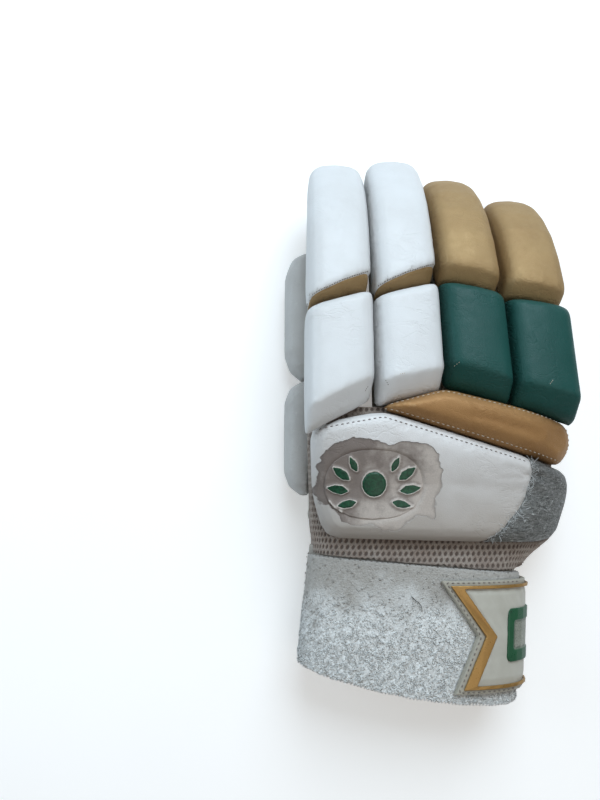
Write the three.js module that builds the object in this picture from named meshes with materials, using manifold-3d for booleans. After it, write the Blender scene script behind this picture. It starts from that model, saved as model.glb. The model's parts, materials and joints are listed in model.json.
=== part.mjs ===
// A right-hand cricket batting glove lying palm down, as it rests by itself.
// Fingers point along +Y, the thumb side is at -X, and Z is up from the surface. Millimetres and degrees.
// The hand and the finger stalls are hollow leather and mesh walls, open at the wrist.
// Padded blocks are sewn on the back of each finger and on the thumb, with a knuckle roll, a back-of-hand pad
// with a badge, and a towelling cuff that a moulded strap goes round.

import * as THREE from "three";
import Module from "manifold-3d";

const wasm = await Module();
wasm.setup();

// Walls and clearances
const fitGap = 0.3; // between two pieces that are sewn face to face
const shellWall = 1.8; // leather and mesh of the hand and the stalls
const cuffWall = 4; // towelling over its padding
const cutReach = 6; // how far a cutting shape runs past what it cuts

// Hand
const handLength = 68; // wrist seam to finger roots
const handWidth = 118;
const wristDepth = 38;
const knuckleDepth = 28;
const knuckleRise = 21; // underside of the knuckles above the surface
const handLean = 7; // the thumb below lifts the index side, so the back leans towards the little finger
const wristSlant = 4; // the wrist seam runs this far back at the little-finger side, and forward at the thumb side
const seamHeight = 15; // where the palm leather meets the mesh back, above the palm's underside

// Fingers
const fingerPitch = 30.7;
const stallWidth = 25;
const stallDepth = 22;
const fingerDip = 4; // slope of the first stretch of each finger
const jointReach = 51; // finger root to the joint between the two blocks, on the longest finger
const tipReach = 62; // that joint to the end of the bend, on the longest finger
const stallNose = 9; // rounded end past the bend
const fingersShift = 2; // middle of the four fingers' roots from the middle of the glove

// Finger blocks
const knuckleBlockWidth = 29.6;
const tipBlockWidth = 28.4;
const blockThickness = 17;
const blockBevel = 5.5;
const blockCrown = 0.8;
const knuckleBlockLength = 50;
const jointGap = 1.2; // between the two blocks of one finger
const tipOverhang = 13; // how far a tip block goes past the bend
const endPanelLength = 3.4; // the panel slopes down from a tip block's white leather to the joint
const endPanelTaper = 0.1; // it narrows towards the thumb side, slope across the finger

// Thumb
const thumbLength = 128; // root inside the hand to the end of the stall
const thumbDepth = 20; // across, from the hand to the outside
const thumbWidth = 21; // upright
const thumbInset = 0.5; // the thumb's line from the index finger's line
const thumbBlockThickness = 11;
const thumbBlockWidth = 22.5;
const thumbBaseStart = 9.8; // from the thumb's start, inside the palm, to its base block
const thumbTipLength = 67;
const thumbTilt = 8; // the blocks face outwards and this much up
const thumbStart = 15.5; // height of the thumb's middle where it starts, inside the hand
const thumbNarrowing = 0.2; // share of its size that it loses by the end

// Back of the hand
const backPadThickness = 12;
const rollThickness = 12;
const padEdge = 5; // rounded margin of the pad and the roll
const sideStep = 17; // between points along the pads' longer sides
const badgeWidth = 42;
const badgeHeight = 29;
const badgeRelief = 1.1;

// Cuff and strap
const cuffLength = 54.5;
const cuffWidth = 97;
const cuffHeight = 40;
const hemSlant = 7.5; // the hem runs this far back at the little-finger side, and forward at the thumb side
const hemCurve = 3.5;
const cuffShift = -5; // the hem's middle from the seam's
const strapWidth = 46;
const strapThickness = 2.5;
const strapFromHem = 2; // strap's near edge to the hem, at its least
const strapNotch = 13; // depth of the V cut in its end
const strapStart = 8.5; // the far tail's tip from the cuff's middle line, on the back
const strapSkew = 8; // how much nearer the other tail ends
const strapEnd = 22; // plain end past the cuff's middle line, on the palm side
const trimHeight = 0.9;
const trimMargin = 2;
const trimLine = 1.4;
const trimArrow = 4.5; // breadth of the trim along the V
const trimTurn = 40; // the trim ends this far below the side of the cuff, degrees round it
const tabStart = 37; // raised tab from the cuff's middle line, on the back
const tabTurn = 22; // its end below the side of the cuff, degrees round it
const tabWidth = 22;

const wristY = -handLength + 2;
const rootY = 2;
const slope = Math.tan(THREE.MathUtils.degToRad(handLean));

// The hand's outline, a row for each section from the wrist to the finger roots.
// along: share of handLength. centre and wide: shares of handWidth. rise: share of knuckleRise.
// thin: 0 is wristDepth and 1 is knuckleDepth. lean: share of handLean's slope.
const HAND = [
  { along: 0, centre: -0.055, wide: 0.8, rise: 0.15, thin: 0, lean: 0.1, rim: 0.68 },
  { along: 0.1, centre: -0.022, wide: 0.865, rise: 0.13, thin: 0.07, lean: 0.2, rim: 0.66 },
  { along: 0.2, centre: 0.018, wide: 0.96, rise: 0.12, thin: 0.14, lean: 0.33, rim: 0.66 },
  { along: 0.46, centre: 0.023, wide: 0.975, rise: 0.28, thin: 0.45, lean: 0.7, rim: 0.74 },
  { along: 0.72, centre: 0.025, wide: 0.99, rise: 0.68, thin: 0.8, lean: 0.95, rim: 0.84 },
  { along: 0.92, centre: 0.03, wide: 1, rise: 0.94, thin: 0.97, lean: 1, rim: 0.84 },
  { along: 1, centre: 0.03, wide: 0.99, rise: 1.03, thin: 1, lean: 1, rim: 0.84 },
];

// Fingers from the thumb side. place: in pitches. fan: degrees away from +Y towards +X. joint: share of
// jointReach. tip: share of tipReach. lift: height of the tip's underside, a share of knuckleRise.
// rear, front and tip slants: slopes of the blocks' ends across the finger. reach: share of knuckleBlockLength.
const FINGERS = [
  { name: "index", place: -1.5, fan: 0.5, joint: 0.9, tip: 1.05, lift: 0.4, rear: 0.56, front: 0.31, reach: 1.055, colour: "white" },
  { name: "middle", place: -0.49, fan: -0.6, joint: 1.01, tip: 1.03, lift: 0.2, rear: 0.22, front: 0.25, reach: 1, colour: "white" },
  { name: "ring", place: 0.52, fan: -1.6, joint: 1.05, tip: 0.86, lift: 0, rear: -0.33, front: -0.19, reach: 1, colour: "gold" },
  { name: "little", place: 1.5, fan: -1.2, joint: 0.93, tip: 0.76, lift: 0, rear: -0.31, front: -0.15, reach: 1.04, colour: "gold" },
];

// Block sections. along: share of the block's length. wide and high: shares of its width and thickness.
// drop: how far the underside comes down over the finger's end, a share of stallDepth.
const KNUCKLE_BLOCK = [
  { along: 0, wide: 0.93, high: 0.4, drop: 0 },
  { along: 0.04, wide: 0.99, high: 0.6, drop: 0 },
  { along: 0.19, wide: 1, high: 1, drop: 0 },
  { along: 0.92, wide: 1, high: 1, drop: 0 },
  { along: 0.975, wide: 0.99, high: 0.9, drop: 0 },
  { along: 1, wide: 0.96, high: 0.72, drop: 0 },
];
const TIP_BLOCK = [
  { along: 0, wide: 0.96, high: 0.55, drop: 0 },
  { along: 0.07, wide: 1, high: 0.95, drop: 0 },
  { along: 0.11, wide: 1, high: 1, drop: 0 },
  { along: 0.28, wide: 1, high: 1, drop: 0 },
  { along: 0.45, wide: 1, high: 1, drop: 0 },
  { along: 0.61, wide: 0.99, high: 0.98, drop: 0.01 },
  { along: 0.75, wide: 0.975, high: 0.93, drop: 0.06 },
  { along: 0.86, wide: 0.94, high: 0.84, drop: 0.2 },
  { along: 0.95, wide: 0.84, high: 0.64, drop: 0.4 },
  { along: 1, wide: 0.64, high: 0.34, drop: 0.5 },
];
const PANELLED_TIP_BLOCK = [
  { along: 0, wide: 0.99, high: 0.96, drop: 0 },
  { along: 0.03, wide: 1, high: 1, drop: 0 },
  ...TIP_BLOCK.slice(3),
];
const END_PANEL = [
  { along: 0, wide: 0.96, high: 0.5, drop: 0 },
  { along: 1, wide: 0.98, high: 0.94, drop: 0 },
];
const THUMB_BLOCK = [
  { along: 0, wide: 0.7, high: 0.35, drop: 0 },
  { along: 0.08, wide: 0.92, high: 0.8, drop: 0 },
  { along: 0.2, wide: 1, high: 1, drop: 0 },
  { along: 0.82, wide: 1, high: 1, drop: 0 },
  { along: 0.94, wide: 0.9, high: 0.8, drop: 0 },
  { along: 1, wide: 0.68, high: 0.35, drop: 0 },
];

const FINISH = {
  white: { color: 0xe9e8e6, roughness: 0.5, metalness: 0 },
  gold: { color: 0xb08a4e, roughness: 0.42, metalness: 0.35 },
  green: { color: 0x1f5447, roughness: 0.55, metalness: 0 },
  cream: { color: 0xdcd6cb, roughness: 0.6, metalness: 0 },
  silver: { color: 0x9b9b99, roughness: 0.35, metalness: 0.6 },
  mesh: { color: 0xb9aea2, roughness: 0.9, metalness: 0 },
  towel: { color: 0xc9c0b4, roughness: 1, metalness: 0 },
  strap: { color: 0xdde0de, roughness: 0.4, metalness: 0 },
};

const mix = THREE.MathUtils.lerp;

// A closed solid from vertices and triangles, turned the right way out.
function solidFrom(points, triangles) {
  const vertProperties = new Float32Array(points.flatMap((p) => [p.x, p.y, p.z]));
  const build = (list) =>
    new wasm.Manifold(new wasm.Mesh({ numProp: 3, vertProperties, triVerts: new Uint32Array(list.flat()) }));
  const made = build(triangles);
  return made.volume() > 0 ? made : build(triangles.map(([a, b, c]) => [a, c, b]));
}

// Skins a row of rings that have as many points each, and closes both ends round their middles.
function loft(rings) {
  const count = rings[0].length;
  const points = rings.flat();
  const triangles = skin(rings.length - 1, rings.length, count);
  [0, rings.length - 1].forEach((row) => {
    const middle = rings[row].reduce((sum, p) => sum.add(p), new THREE.Vector3()).divideScalar(count);
    points.push(middle);
    for (let j = 0; j < count; j++) {
      const [a, b] = [row * count + j, row * count + ((j + 1) % count)];
      triangles.push(row === 0 ? [points.length - 1, b, a] : [points.length - 1, a, b]);
    }
  });
  return solidFrom(points, triangles);
}

// Skins rings that close on themselves, such as a frame.
function closedLoft(rings) {
  return solidFrom(rings.flat(), skin(rings.length, rings.length, rings[0].length));
}

// A sheet with a thickness, from a grid of places: pointAt(i, j, height) over rows and columns.
function slab(rows, columns, pointAt, low, high) {
  const points = [];
  const index = (level, i, j) => (level * (rows + 1) + i) * (columns + 1) + j;
  for (const height of [low, high]) {
    for (let i = 0; i <= rows; i++) {
      for (let j = 0; j <= columns; j++) points.push(pointAt(i / rows, j / columns, height));
    }
  }
  const triangles = [];
  const quad = (a, b, c, d) => triangles.push([a, b, c], [a, c, d]);
  for (let i = 0; i < rows; i++) {
    for (let j = 0; j < columns; j++) {
      quad(index(1, i, j), index(1, i + 1, j), index(1, i + 1, j + 1), index(1, i, j + 1));
      quad(index(0, i, j), index(0, i, j + 1), index(0, i + 1, j + 1), index(0, i + 1, j));
    }
    quad(index(0, i, 0), index(0, i + 1, 0), index(1, i + 1, 0), index(1, i, 0));
    quad(index(0, i + 1, columns), index(0, i, columns), index(1, i, columns), index(1, i + 1, columns));
  }
  for (let j = 0; j < columns; j++) {
    quad(index(0, 0, j + 1), index(0, 0, j), index(1, 0, j), index(1, 0, j + 1));
    quad(index(0, rows, j), index(0, rows, j + 1), index(1, rows, j + 1), index(1, rows, j));
  }
  return solidFrom(points, triangles);
}

function skin(steps, rows, count) {
  const triangles = [];
  for (let i = 0; i < steps; i++) {
    for (let j = 0; j < count; j++) {
      const k = (j + 1) % count;
      const [a, b] = [i * count, ((i + 1) % rows) * count];
      triangles.push([a + j, a + k, b + k], [a + j, b + k, b + j]);
    }
  }
  return triangles;
}

// A box-shaped region by its lowest and highest corners.
function region(low, high) {
  const box = new THREE.Box3(new THREE.Vector3(...low), new THREE.Vector3(...high));
  const [min, max] = [box.min, box.max];
  const ring = (y) => [
    new THREE.Vector3(min.x, y, min.z),
    new THREE.Vector3(max.x, y, min.z),
    new THREE.Vector3(max.x, y, max.z),
    new THREE.Vector3(min.x, y, max.z),
  ];
  return loft([ring(min.y), ring(max.y)]);
}

// Cosine and sine of a rounded box outline: the higher the power, the squarer.
function roundBox(angle, power) {
  const bend = (v) => Math.sign(v) * Math.abs(v) ** (2 / power);
  return [bend(Math.cos(angle)), bend(Math.sin(angle))];
}

const handPower = 2.8;
const stallPower = 2.5;
const cuffPower = 2.6;

// The hand's section at a place along the glove.
function handSection(y) {
  const along = THREE.MathUtils.clamp((y - wristY) / handLength, 0, 1);
  const next = Math.max(1, HAND.findIndex((row) => row.along >= along));
  const [a, b] = [HAND[next - 1], HAND[next]];
  const t = (along - a.along) / (b.along - a.along);
  const depth = mix(wristDepth, knuckleDepth, mix(a.thin, b.thin, t));
  return {
    centre: mix(a.centre, b.centre, t) * handWidth,
    half: (mix(a.wide, b.wide, t) * handWidth) / 2,
    middle: mix(a.rise, b.rise, t) * knuckleRise + depth / 2,
    depth,
    lean: mix(a.lean, b.lean, t) * slope,
    slant: (1 - along) * wristSlant,
    rim: mix(a.rim, b.rim, t),
  };
}

// The hand's outside, or its inside where grow is negative.
function handBlock(grow, from = wristY, to = rootY) {
  const sides = 24;
  const rows = HAND.map((row) => wristY + row.along * handLength);
  rows[0] = from;
  rows[rows.length - 1] = to;
  return loft(
    rows.map((y) => {
      const s = handSection(y);
      return Array.from({ length: sides }, (_, i) => {
        const [c, n] = roundBox((i / sides) * 2 * Math.PI, handPower);
        const dx = c * (s.half + grow);
        const z = s.middle - dx * s.lean + n * (s.depth / 2 + grow);
        return new THREE.Vector3(s.centre + dx, y - c * s.slant, z);
      });
    }),
  );
}

// Height of the hand's back at a place. Past its rounded side it goes on down at a steady slope.
function backHeight(x, y) {
  const s = handSection(y);
  const dx = x - s.centre;
  const rim = dx > 0 ? s.rim : 0.84;
  const drop = 0.95; // slope that it reaches past the rim
  const turn = 6;
  const share = Math.min(Math.abs(dx) / s.half, rim);
  const past = Math.max(0, Math.abs(dx) - rim * s.half);
  return s.middle - dx * s.lean + (s.depth / 2) * (1 - share ** handPower) ** (1 / handPower) - (drop * past * past) / (past + turn);
}

// A finger's line: straight from its root, then one steady bend from the joint to the tip.
function fingerLine(finger, bend) {
  const front = handSection(rootY);
  const x = finger.place * fingerPitch + fingersShift;
  const root = new THREE.Vector3(x, rootY, front.middle - (x - front.centre) * slope);
  const fan = THREE.MathUtils.degToRad(finger.fan);
  const lean = Math.atan(slope);
  const forward = new THREE.Vector3(Math.sin(fan), Math.cos(fan), 0);
  const side = new THREE.Vector3(Math.cos(fan) * Math.cos(lean), -Math.sin(fan) * Math.cos(lean), -Math.sin(lean));
  const dip = THREE.MathUtils.degToRad(fingerDip);
  const straight = jointReach * finger.joint;
  const arc = tipReach * finger.tip;
  const radius = arc / bend;
  const pitched = (pitch) => forward.clone().multiplyScalar(Math.cos(pitch)).setZ(-Math.sin(pitch));
  const at = (s) => {
    const pitch = dip + (THREE.MathUtils.clamp(s - straight, 0, arc) / arc) * bend;
    const ahead = pitched(pitch);
    const point = root.clone().addScaledVector(pitched(dip), Math.min(s, straight));
    point.addScaledVector(forward, radius * (Math.sin(pitch) - Math.sin(dip)));
    point.z -= radius * (Math.cos(dip) - Math.cos(pitch));
    point.addScaledVector(ahead, Math.max(0, s - straight - arc));
    return { point, ahead, side, up: side.clone().cross(ahead).normalize() };
  };
  return { at, straight, arc, end: straight + arc };
}

// The ring of a stall at one place on a line.
function stallRing(place, halfWide, halfDeep) {
  const sides = 14;
  return Array.from({ length: sides }, (_, i) => {
    const [c, n] = roundBox((i / sides) * 2 * Math.PI, stallPower);
    return place.point
      .clone()
      .addScaledVector(place.side, c * halfWide)
      .addScaledVector(place.up, n * halfDeep);
  });
}

// A stall's rings, rounded at its end. stops: places along the line. narrowing: share lost by the end.
function stallRings(line, stops, nose, wide, deep, narrowing, grow) {
  const from = stops[0];
  const to = stops[stops.length - 1];
  const half = (s) => 1 - narrowing * THREE.MathUtils.clamp((s - from) / (to - from), 0, 1);
  const rings = stops.map((s) => stallRing(line.at(s), (wide / 2) * half(s) + grow, (deep / 2) * half(s) + grow));
  const turns = [30, 58, 80];
  turns.forEach((degrees) => {
    const angle = THREE.MathUtils.degToRad(degrees);
    const shrink = Math.cos(angle);
    const place = line.at(to + (nose + grow) * Math.sin(angle));
    rings.push(
      stallRing(place, ((wide / 2) * half(to) + grow) * shrink, ((deep / 2) * half(to) + grow) * shrink),
    );
  });
  return rings;
}

const fingerNarrowing = 0.14;
const stallBack = 14; // how far the bore starts behind the finger root, inside the hand

function fingerStops(line, from) {
  const bends = 4;
  const stops = [from, line.straight];
  for (let i = 1; i <= bends; i++) stops.push(line.straight + (line.arc * i) / bends);
  return stops;
}

function fingerRings(line, grow, from) {
  return stallRings(line, fingerStops(line, from), stallNose, stallWidth, stallDepth, fingerNarrowing, grow);
}

function fingerSolid(line, grow, from) {
  return loft(fingerRings(line, grow, from));
}

// Finds the bend that brings the finger's end, with its block, down to its resting height.
function restingLine(finger) {
  let [low, high] = [0.02, 1.6];
  const wanted = finger.lift * knuckleRise;
  const steps = 24;
  for (let i = 0; i < steps; i++) {
    const bend = (low + high) / 2;
    const line = fingerLine(finger, bend);
    const points = [...fingerRings(line, 0, 0), ...blockRings(line, TIP_BLOCK, tipShape(finger, line))].flat();
    if (Math.min(...points.map((p) => p.z)) > wanted) low = bend;
    else high = bend;
  }
  return fingerLine(finger, (low + high) / 2);
}

// A padded block's ring: flat below, upright sides, bevelled shoulders and a low crown.
function blockRing(place, base, wide, thick, bevel, crown) {
  const half = wide / 2;
  const shoulder = Math.min(bevel, half * 0.6, thick * 0.6);
  const outline = [
    [-half, 0],
    [half, 0],
    [half, thick - shoulder],
    [half - shoulder * 0.35, thick - shoulder * 0.35],
    [half - shoulder, thick],
    [0, thick + crown],
    [shoulder - half, thick],
    [shoulder * 0.35 - half, thick - shoulder * 0.35],
    [shoulder - shoulder - half, thick - shoulder],
  ];
  return outline.map(([across, up]) =>
    place(across)
      .point.clone()
      .addScaledVector(place(across).side, across)
      .addScaledVector(place(across).up, base + up),
  );
}

// The rings of a block that lies on a line from one place to another, with slanted ends.
function blockRings(line, table, shape) {
  const length = shape.to - shape.from;
  return table.map((row) => {
    const middle = shape.from + row.along * length;
    const slant = mix(shape.rear, shape.front, row.along);
    const thick = shape.thickness * row.high;
    const lower = row.drop * shape.depth;
    const place = (across) => line.at(middle + across * slant);
    return blockRing(place, shape.base - lower, shape.width * row.wide, thick + lower, shape.bevel, shape.crown);
  });
}

// The thumb's line: from inside the palm down to the surface, beside and below the index finger.
function thumbLine() {
  const tilt = THREE.MathUtils.degToRad(thumbTilt);
  const x = FINGERS[0].place * fingerPitch + fingersShift - thumbInset;
  const tipHeight = (thumbBlockWidth / 2) * Math.cos(tilt) - (thumbDepth / 2) * Math.sin(tilt) + fitGap;
  const start = new THREE.Vector3(x, wristY + handLength * 0.3, thumbStart);
  const drop = Math.asin((thumbStart - tipHeight) / (thumbLength - stallNose));
  const ahead = new THREE.Vector3(0, Math.cos(drop), -Math.sin(drop));
  const outwards = new THREE.Vector3(-Math.cos(tilt), 0, Math.sin(tilt));
  const side = outwards.clone().cross(ahead).negate().normalize();
  const up = side.clone().cross(ahead).normalize();
  const at = (s) => ({ point: start.clone().addScaledVector(ahead, s), ahead, side, up });
  return { at };
}

// Corners moved inwards by a distance, then rounded by a curve at each, with points along the longer sides.
function outlineRing(corners, inset, radius) {
  const count = corners.length;
  const moved = corners.map((corner, i) => {
    const before = corners[(i + count - 1) % count];
    const after = corners[(i + 1) % count];
    const a = corner.clone().sub(before).normalize();
    const b = after.clone().sub(corner).normalize();
    const normals = [new THREE.Vector2(-a.y, a.x), new THREE.Vector2(-b.y, b.x)];
    const middle = normals[0].clone().add(normals[1]).normalize();
    return corner.clone().addScaledVector(middle, inset / Math.max(0.4, middle.dot(normals[0])));
  });
  const bends = 2;
  return moved.flatMap((corner, i) => {
    const before = moved[(i + count - 1) % count];
    const after = moved[(i + 1) % count];
    const reach = (other) => Math.min(radius, corner.distanceTo(other) * 0.42);
    const from = corner.clone().lerp(before, reach(before) / corner.distanceTo(before));
    const to = corner.clone().lerp(after, reach(after) / corner.distanceTo(after));
    const next = after.clone().lerp(corner, reach(after) / corner.distanceTo(after));
    const stops = Math.round(corners[i].distanceTo(corners[(i + 1) % count]) / sideStep);
    const between = Array.from({ length: stops }, (_, k) => to.clone().lerp(next, (k + 1) / (stops + 1)));
    return [...new THREE.QuadraticBezierCurve(from, corner, to).getPoints(bends), ...between];
  });
}

// A pad on the hand's back. corners go anticlockwise. levels: how far in and how high each ring is.
// Its underside starts below the hand's surface, for the hand to be cut from it.
function cushion(corners, radius, levels, fills) {
  const ring = (inset, height, share = 1) => {
    const flat = outlineRing(corners, inset, Math.max(1, radius - inset * 0.5));
    const middle = flat.reduce((sum, p) => sum.add(p), new THREE.Vector2()).divideScalar(flat.length);
    return flat.map((p) => {
      const spot = middle.clone().lerp(p, share);
      return new THREE.Vector3(spot.x, spot.y, backHeight(spot.x, spot.y) + height);
    });
  };
  const last = levels[levels.length - 1];
  return loft([
    ...levels.map((level) => ring(level.inset, level.height)),
    ...fills.map((share) => ring(last.inset, last.height + last.swell * (1 - share), share)),
  ]);
}

const point = (x, y) => new THREE.Vector2(x * (handWidth / 2), y * handLength);

// Outline corners of the back pad, the roll and the silver corner: shares of half the hand's width, and of its
// length measured from the finger roots.
const BACK_PAD = [
  { x: -0.81, y: -0.83 },
  { x: 0.97, y: -0.87 },
  { x: 1.17, y: -0.55 },
  { x: 1.13, y: -0.41 },
  { x: -0.39, y: -0.04 },
  { x: -0.92, y: -0.12 },
  { x: -0.9, y: -0.55 },
];
const KNUCKLE_ROLL = [
  { x: 1.03, y: -0.375 },
  { x: 1.15, y: -0.23 },
  { x: 1.07, y: -0.08 },
  { x: 0.06, y: 0.11 },
  { x: -0.43, y: -0.02 },
];
const SILVER_EDGE = [
  { x: 0.12, y: -1 },
  { x: 0.46, y: -0.79 },
  { x: 0.65, y: -0.62 },
  { x: 0.74, y: -0.42 },
  { x: 0.7, y: -0.2 },
];

function cornersOf(rows) {
  return rows.map((row) => point(row.x, row.y).add(new THREE.Vector2(0, rootY)));
}

const PAD_LEVELS = [
  { inset: 0.2, height: -0.15 },
  { inset: 0.15, height: 0.1 },
  { inset: 0, height: 0.35 },
  { inset: 0.1, height: 0.62 },
  { inset: 0.45, height: 0.86 },
  { inset: 1, height: 1 },
];

function padLevels(thickness) {
  return PAD_LEVELS.map((row) => ({
    inset: row.inset * padEdge,
    height: row.height * thickness,
    swell: thickness * 0.08,
  }));
}

// The badge: an oval plate with a ball between two sprays of leaves, all raised from one plate.
function badgeMiddle() {
  return point(-0.46, -0.5).add(new THREE.Vector2(0, rootY));
}

function badgeOval(scale) {
  const middle = badgeMiddle();
  const sides = 28;
  return Array.from({ length: sides }, (_, i) => {
    const [c, n] = roundBox((i / sides) * 2 * Math.PI, 2.3);
    return new THREE.Vector2(middle.x + (c * badgeWidth * scale) / 2, middle.y + (n * badgeHeight * scale) / 2);
  });
}

// A flat shape on the pad's top, between two heights above the hand's back.
function raised(outline, low, high, shrink = 1, fills = []) {
  const middle = outline.reduce((sum, p) => sum.add(p), new THREE.Vector2()).divideScalar(outline.length);
  const ring = (height, share) =>
    outline.map((p) => {
      const spot = middle.clone().lerp(p, share);
      return new THREE.Vector3(spot.x, spot.y, backHeight(spot.x, spot.y) + height);
    });
  return loft([
    ...fills.map((share) => ring(low, share)),
    ring(low, 1),
    ring(high, shrink),
    ...fills.map((share) => ring(high, shrink * share)),
  ]);
}

function leafOutline(root, angle, length, width) {
  const along = new THREE.Vector2(Math.cos(angle), Math.sin(angle));
  const across = new THREE.Vector2(-along.y, along.x);
  const stations = [
    [0, 0.12],
    [0.3, 0.95],
    [0.66, 0.85],
    [1, 0.08],
  ];
  const edge = (sign) =>
    stations.map(([s, w]) =>
      root
        .clone()
        .addScaledVector(along, s * length)
        .addScaledVector(across, (sign * w * width) / 2),
    );
  return [...edge(-1), ...edge(1).reverse()];
}

// Leaves of one side of the badge, from the foot up. out: distance from the ball. turn: degrees from level.
const LEAVES = [
  { out: 0.5, up: -0.5, turn: -12, size: 0.3 },
  { out: 0.72, up: -0.2, turn: 10, size: 0.35 },
  { out: 0.7, up: 0.12, turn: 36, size: 0.33 },
  { out: 0.5, up: 0.36, turn: 62, size: 0.25 },
];

function badgeSolid(top) {
  const middle = badgeMiddle();
  const low = top - badgeRelief;
  const inside = top - badgeRelief * 0.6;
  let made = raised(badgeOval(1), low, top - badgeRelief * 0.25, 1, [0.5]);
  const sides = 20;
  const radius = badgeHeight * 0.2;
  const ball = Array.from({ length: sides }, (_, i) => {
    const angle = (i / sides) * 2 * Math.PI;
    return new THREE.Vector2(middle.x + Math.cos(angle) * radius, middle.y + Math.sin(angle) * radius);
  });
  made = made.add(raised(ball, inside, top + badgeRelief * 0.9, 0.8));
  for (const side of [-1, 1]) {
    for (const leaf of LEAVES) {
      const root = middle
        .clone()
        .add(new THREE.Vector2((side * leaf.out * badgeHeight) / 2, (leaf.up * badgeHeight) / 2));
      const turn = THREE.MathUtils.degToRad(leaf.turn);
      const angle = side > 0 ? turn : Math.PI - turn;
      const outline = leafOutline(root, angle, leaf.size * badgeHeight, leaf.size * badgeHeight * 0.42);
      made = made.add(raised(side > 0 ? outline : outline.reverse(), inside, top + badgeRelief * 0.5, 0.86));
    }
  }
  return made;
}

// The cuff's section at a place between its seam, 0, and its hem, 1.
function cuffSection(along) {
  return {
    centre: HAND[0].centre * handWidth + cuffShift * along,
    half: cuffWidth / 2,
    middle: strapThickness + fitGap + cuffHeight / 2,
  };
}

const cuffSink = 1.5; // the cloth's own roundness, flattened where it rests

// A point round the cuff, grow outside its surface. along goes past 0 and 1 for the pieces that lie on it.
function cuffPoint(angle, y, along, grow) {
  const s = cuffSection(along);
  const [c, n] = roundBox(angle, cuffPower);
  const floor = s.middle - cuffHeight / 2 - grow;
  const z = s.middle + n * (cuffHeight / 2 + (n < 0 ? cuffSink : 0) + grow);
  return new THREE.Vector3(s.centre + c * (s.half + grow), y, Math.max(z, floor));
}

function cuffBlock(grow, past) {
  const sides = 36;
  const rows = [-past, 0.5, 1 + past];
  return loft(
    rows.map((along) =>
      Array.from({ length: sides }, (_, i) => {
        const angle = (i / sides) * 2 * Math.PI;
        const [c] = roundBox(angle, cuffPower);
        const seam = wristY - fitGap - c * wristSlant;
        const hem = wristY - cuffLength - c * hemSlant + c * c * hemCurve;
        return cuffPoint(angle, mix(seam, hem, along), along, grow);
      }),
    ),
  );
}

// The angle round the cuff whose point is this far to the side of the middle line.
function angleAt(x, above) {
  const share = THREE.MathUtils.clamp(x / (cuffWidth / 2), -1, 1);
  const angle = Math.acos(Math.sign(share) * Math.abs(share) ** (cuffPower / 2));
  return above ? angle : -angle;
}

// A point on the strap. across: 0 at its far edge from the hem and 1 near it.
function onStrap(angle, across, height) {
  const near = wristY - cuffLength + strapFromHem;
  const y = near + strapWidth * (1 - across);
  return cuffPoint(angle, y, (wristY - y) / cuffLength, fitGap + height);
}

// The angle of the strap's V end at a place across it, moved inwards by a distance.
function tailAngle(across, inwards) {
  const notch = strapNotch * (1 - Math.abs(2 * across - 1));
  return angleAt(strapStart + notch + across * strapSkew + inwards, true);
}

function strapSolid(low, high) {
  const end = angleAt(-strapEnd, false);
  const pointAt = (run, across, height) => onStrap(mix(tailAngle(across, 0), end, run), across, height);
  return slab(18, 4, pointAt, low, high);
}

// The raised line that frames the strap's visible end, broad along its V and thin along its edges.
function strapTrim() {
  const low = strapThickness + fitGap;
  const margin = trimMargin / strapWidth;
  const line = trimLine / strapWidth;
  const end = THREE.MathUtils.degToRad(-trimTurn);
  const thin = THREE.MathUtils.degToRad(2);
  const ring = (inset, arrow, shortening) => {
    const corner = (across) => tailAngle(across, trimMargin + arrow);
    const [far, near] = [margin + inset, 1 - margin - inset];
    const last = end + shortening;
    return [
      ...steps(0, 1, 12).map((t) => [mix(corner(far), last, t), far]),
      ...steps(0, 1, 12).map((t) => [mix(last, corner(near), t), near]),
      [corner(0.5), 0.5],
    ];
  };
  const outer = ring(0, 0, 0);
  const inner = ring(line, trimArrow, thin);
  return closedLoft(
    outer.map((place, i) => [
      onStrap(...place, low),
      onStrap(...inner[i], low),
      onStrap(...inner[i], low + trimHeight),
      onStrap(...place, low + trimHeight),
    ]),
  );
}

// The plain raised tab where the strap goes over the side.
function strapTab() {
  const low = strapThickness + fitGap;
  const from = angleAt(tabStart, true);
  const to = THREE.MathUtils.degToRad(-tabTurn);
  const share = tabWidth / strapWidth;
  const pointAt = (run, across, height) => onStrap(mix(from, to, run), 0.5 + (across - 0.5) * share, height);
  return slab(8, 2, pointAt, low, low + trimHeight);
}

function steps(from, to, count) {
  return Array.from({ length: count + 1 }, (_, i) => mix(from, to, i / count));
}

// A part of the space below a line that follows the hand from the wrist to the roots.
function palmRegion(lift) {
  const reach = handWidth;
  const deep = 60;
  const rows = HAND.map((row) => wristY + row.along * handLength);
  rows[0] -= wristSlant * 3;
  rows[rows.length - 1] += 5;
  return loft(
    rows.map((y) => {
      const s = handSection(y);
      const level = s.middle - s.depth / 2 + seamHeight * (s.depth / wristDepth) + lift;
      return [
        new THREE.Vector3(s.centre - reach, y, -deep),
        new THREE.Vector3(s.centre + reach, y, -deep),
        new THREE.Vector3(s.centre + reach, y, level - reach * s.lean),
        new THREE.Vector3(s.centre - reach, y, level + reach * s.lean),
      ];
    }),
  );
}

// Takes the largest body of a solid, so that a sliver left by a cut isn't kept.
function mainBody(solid) {
  return solid.decompose().reduce((best, body) => (body.volume() > best.volume() ? body : best));
}

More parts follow.
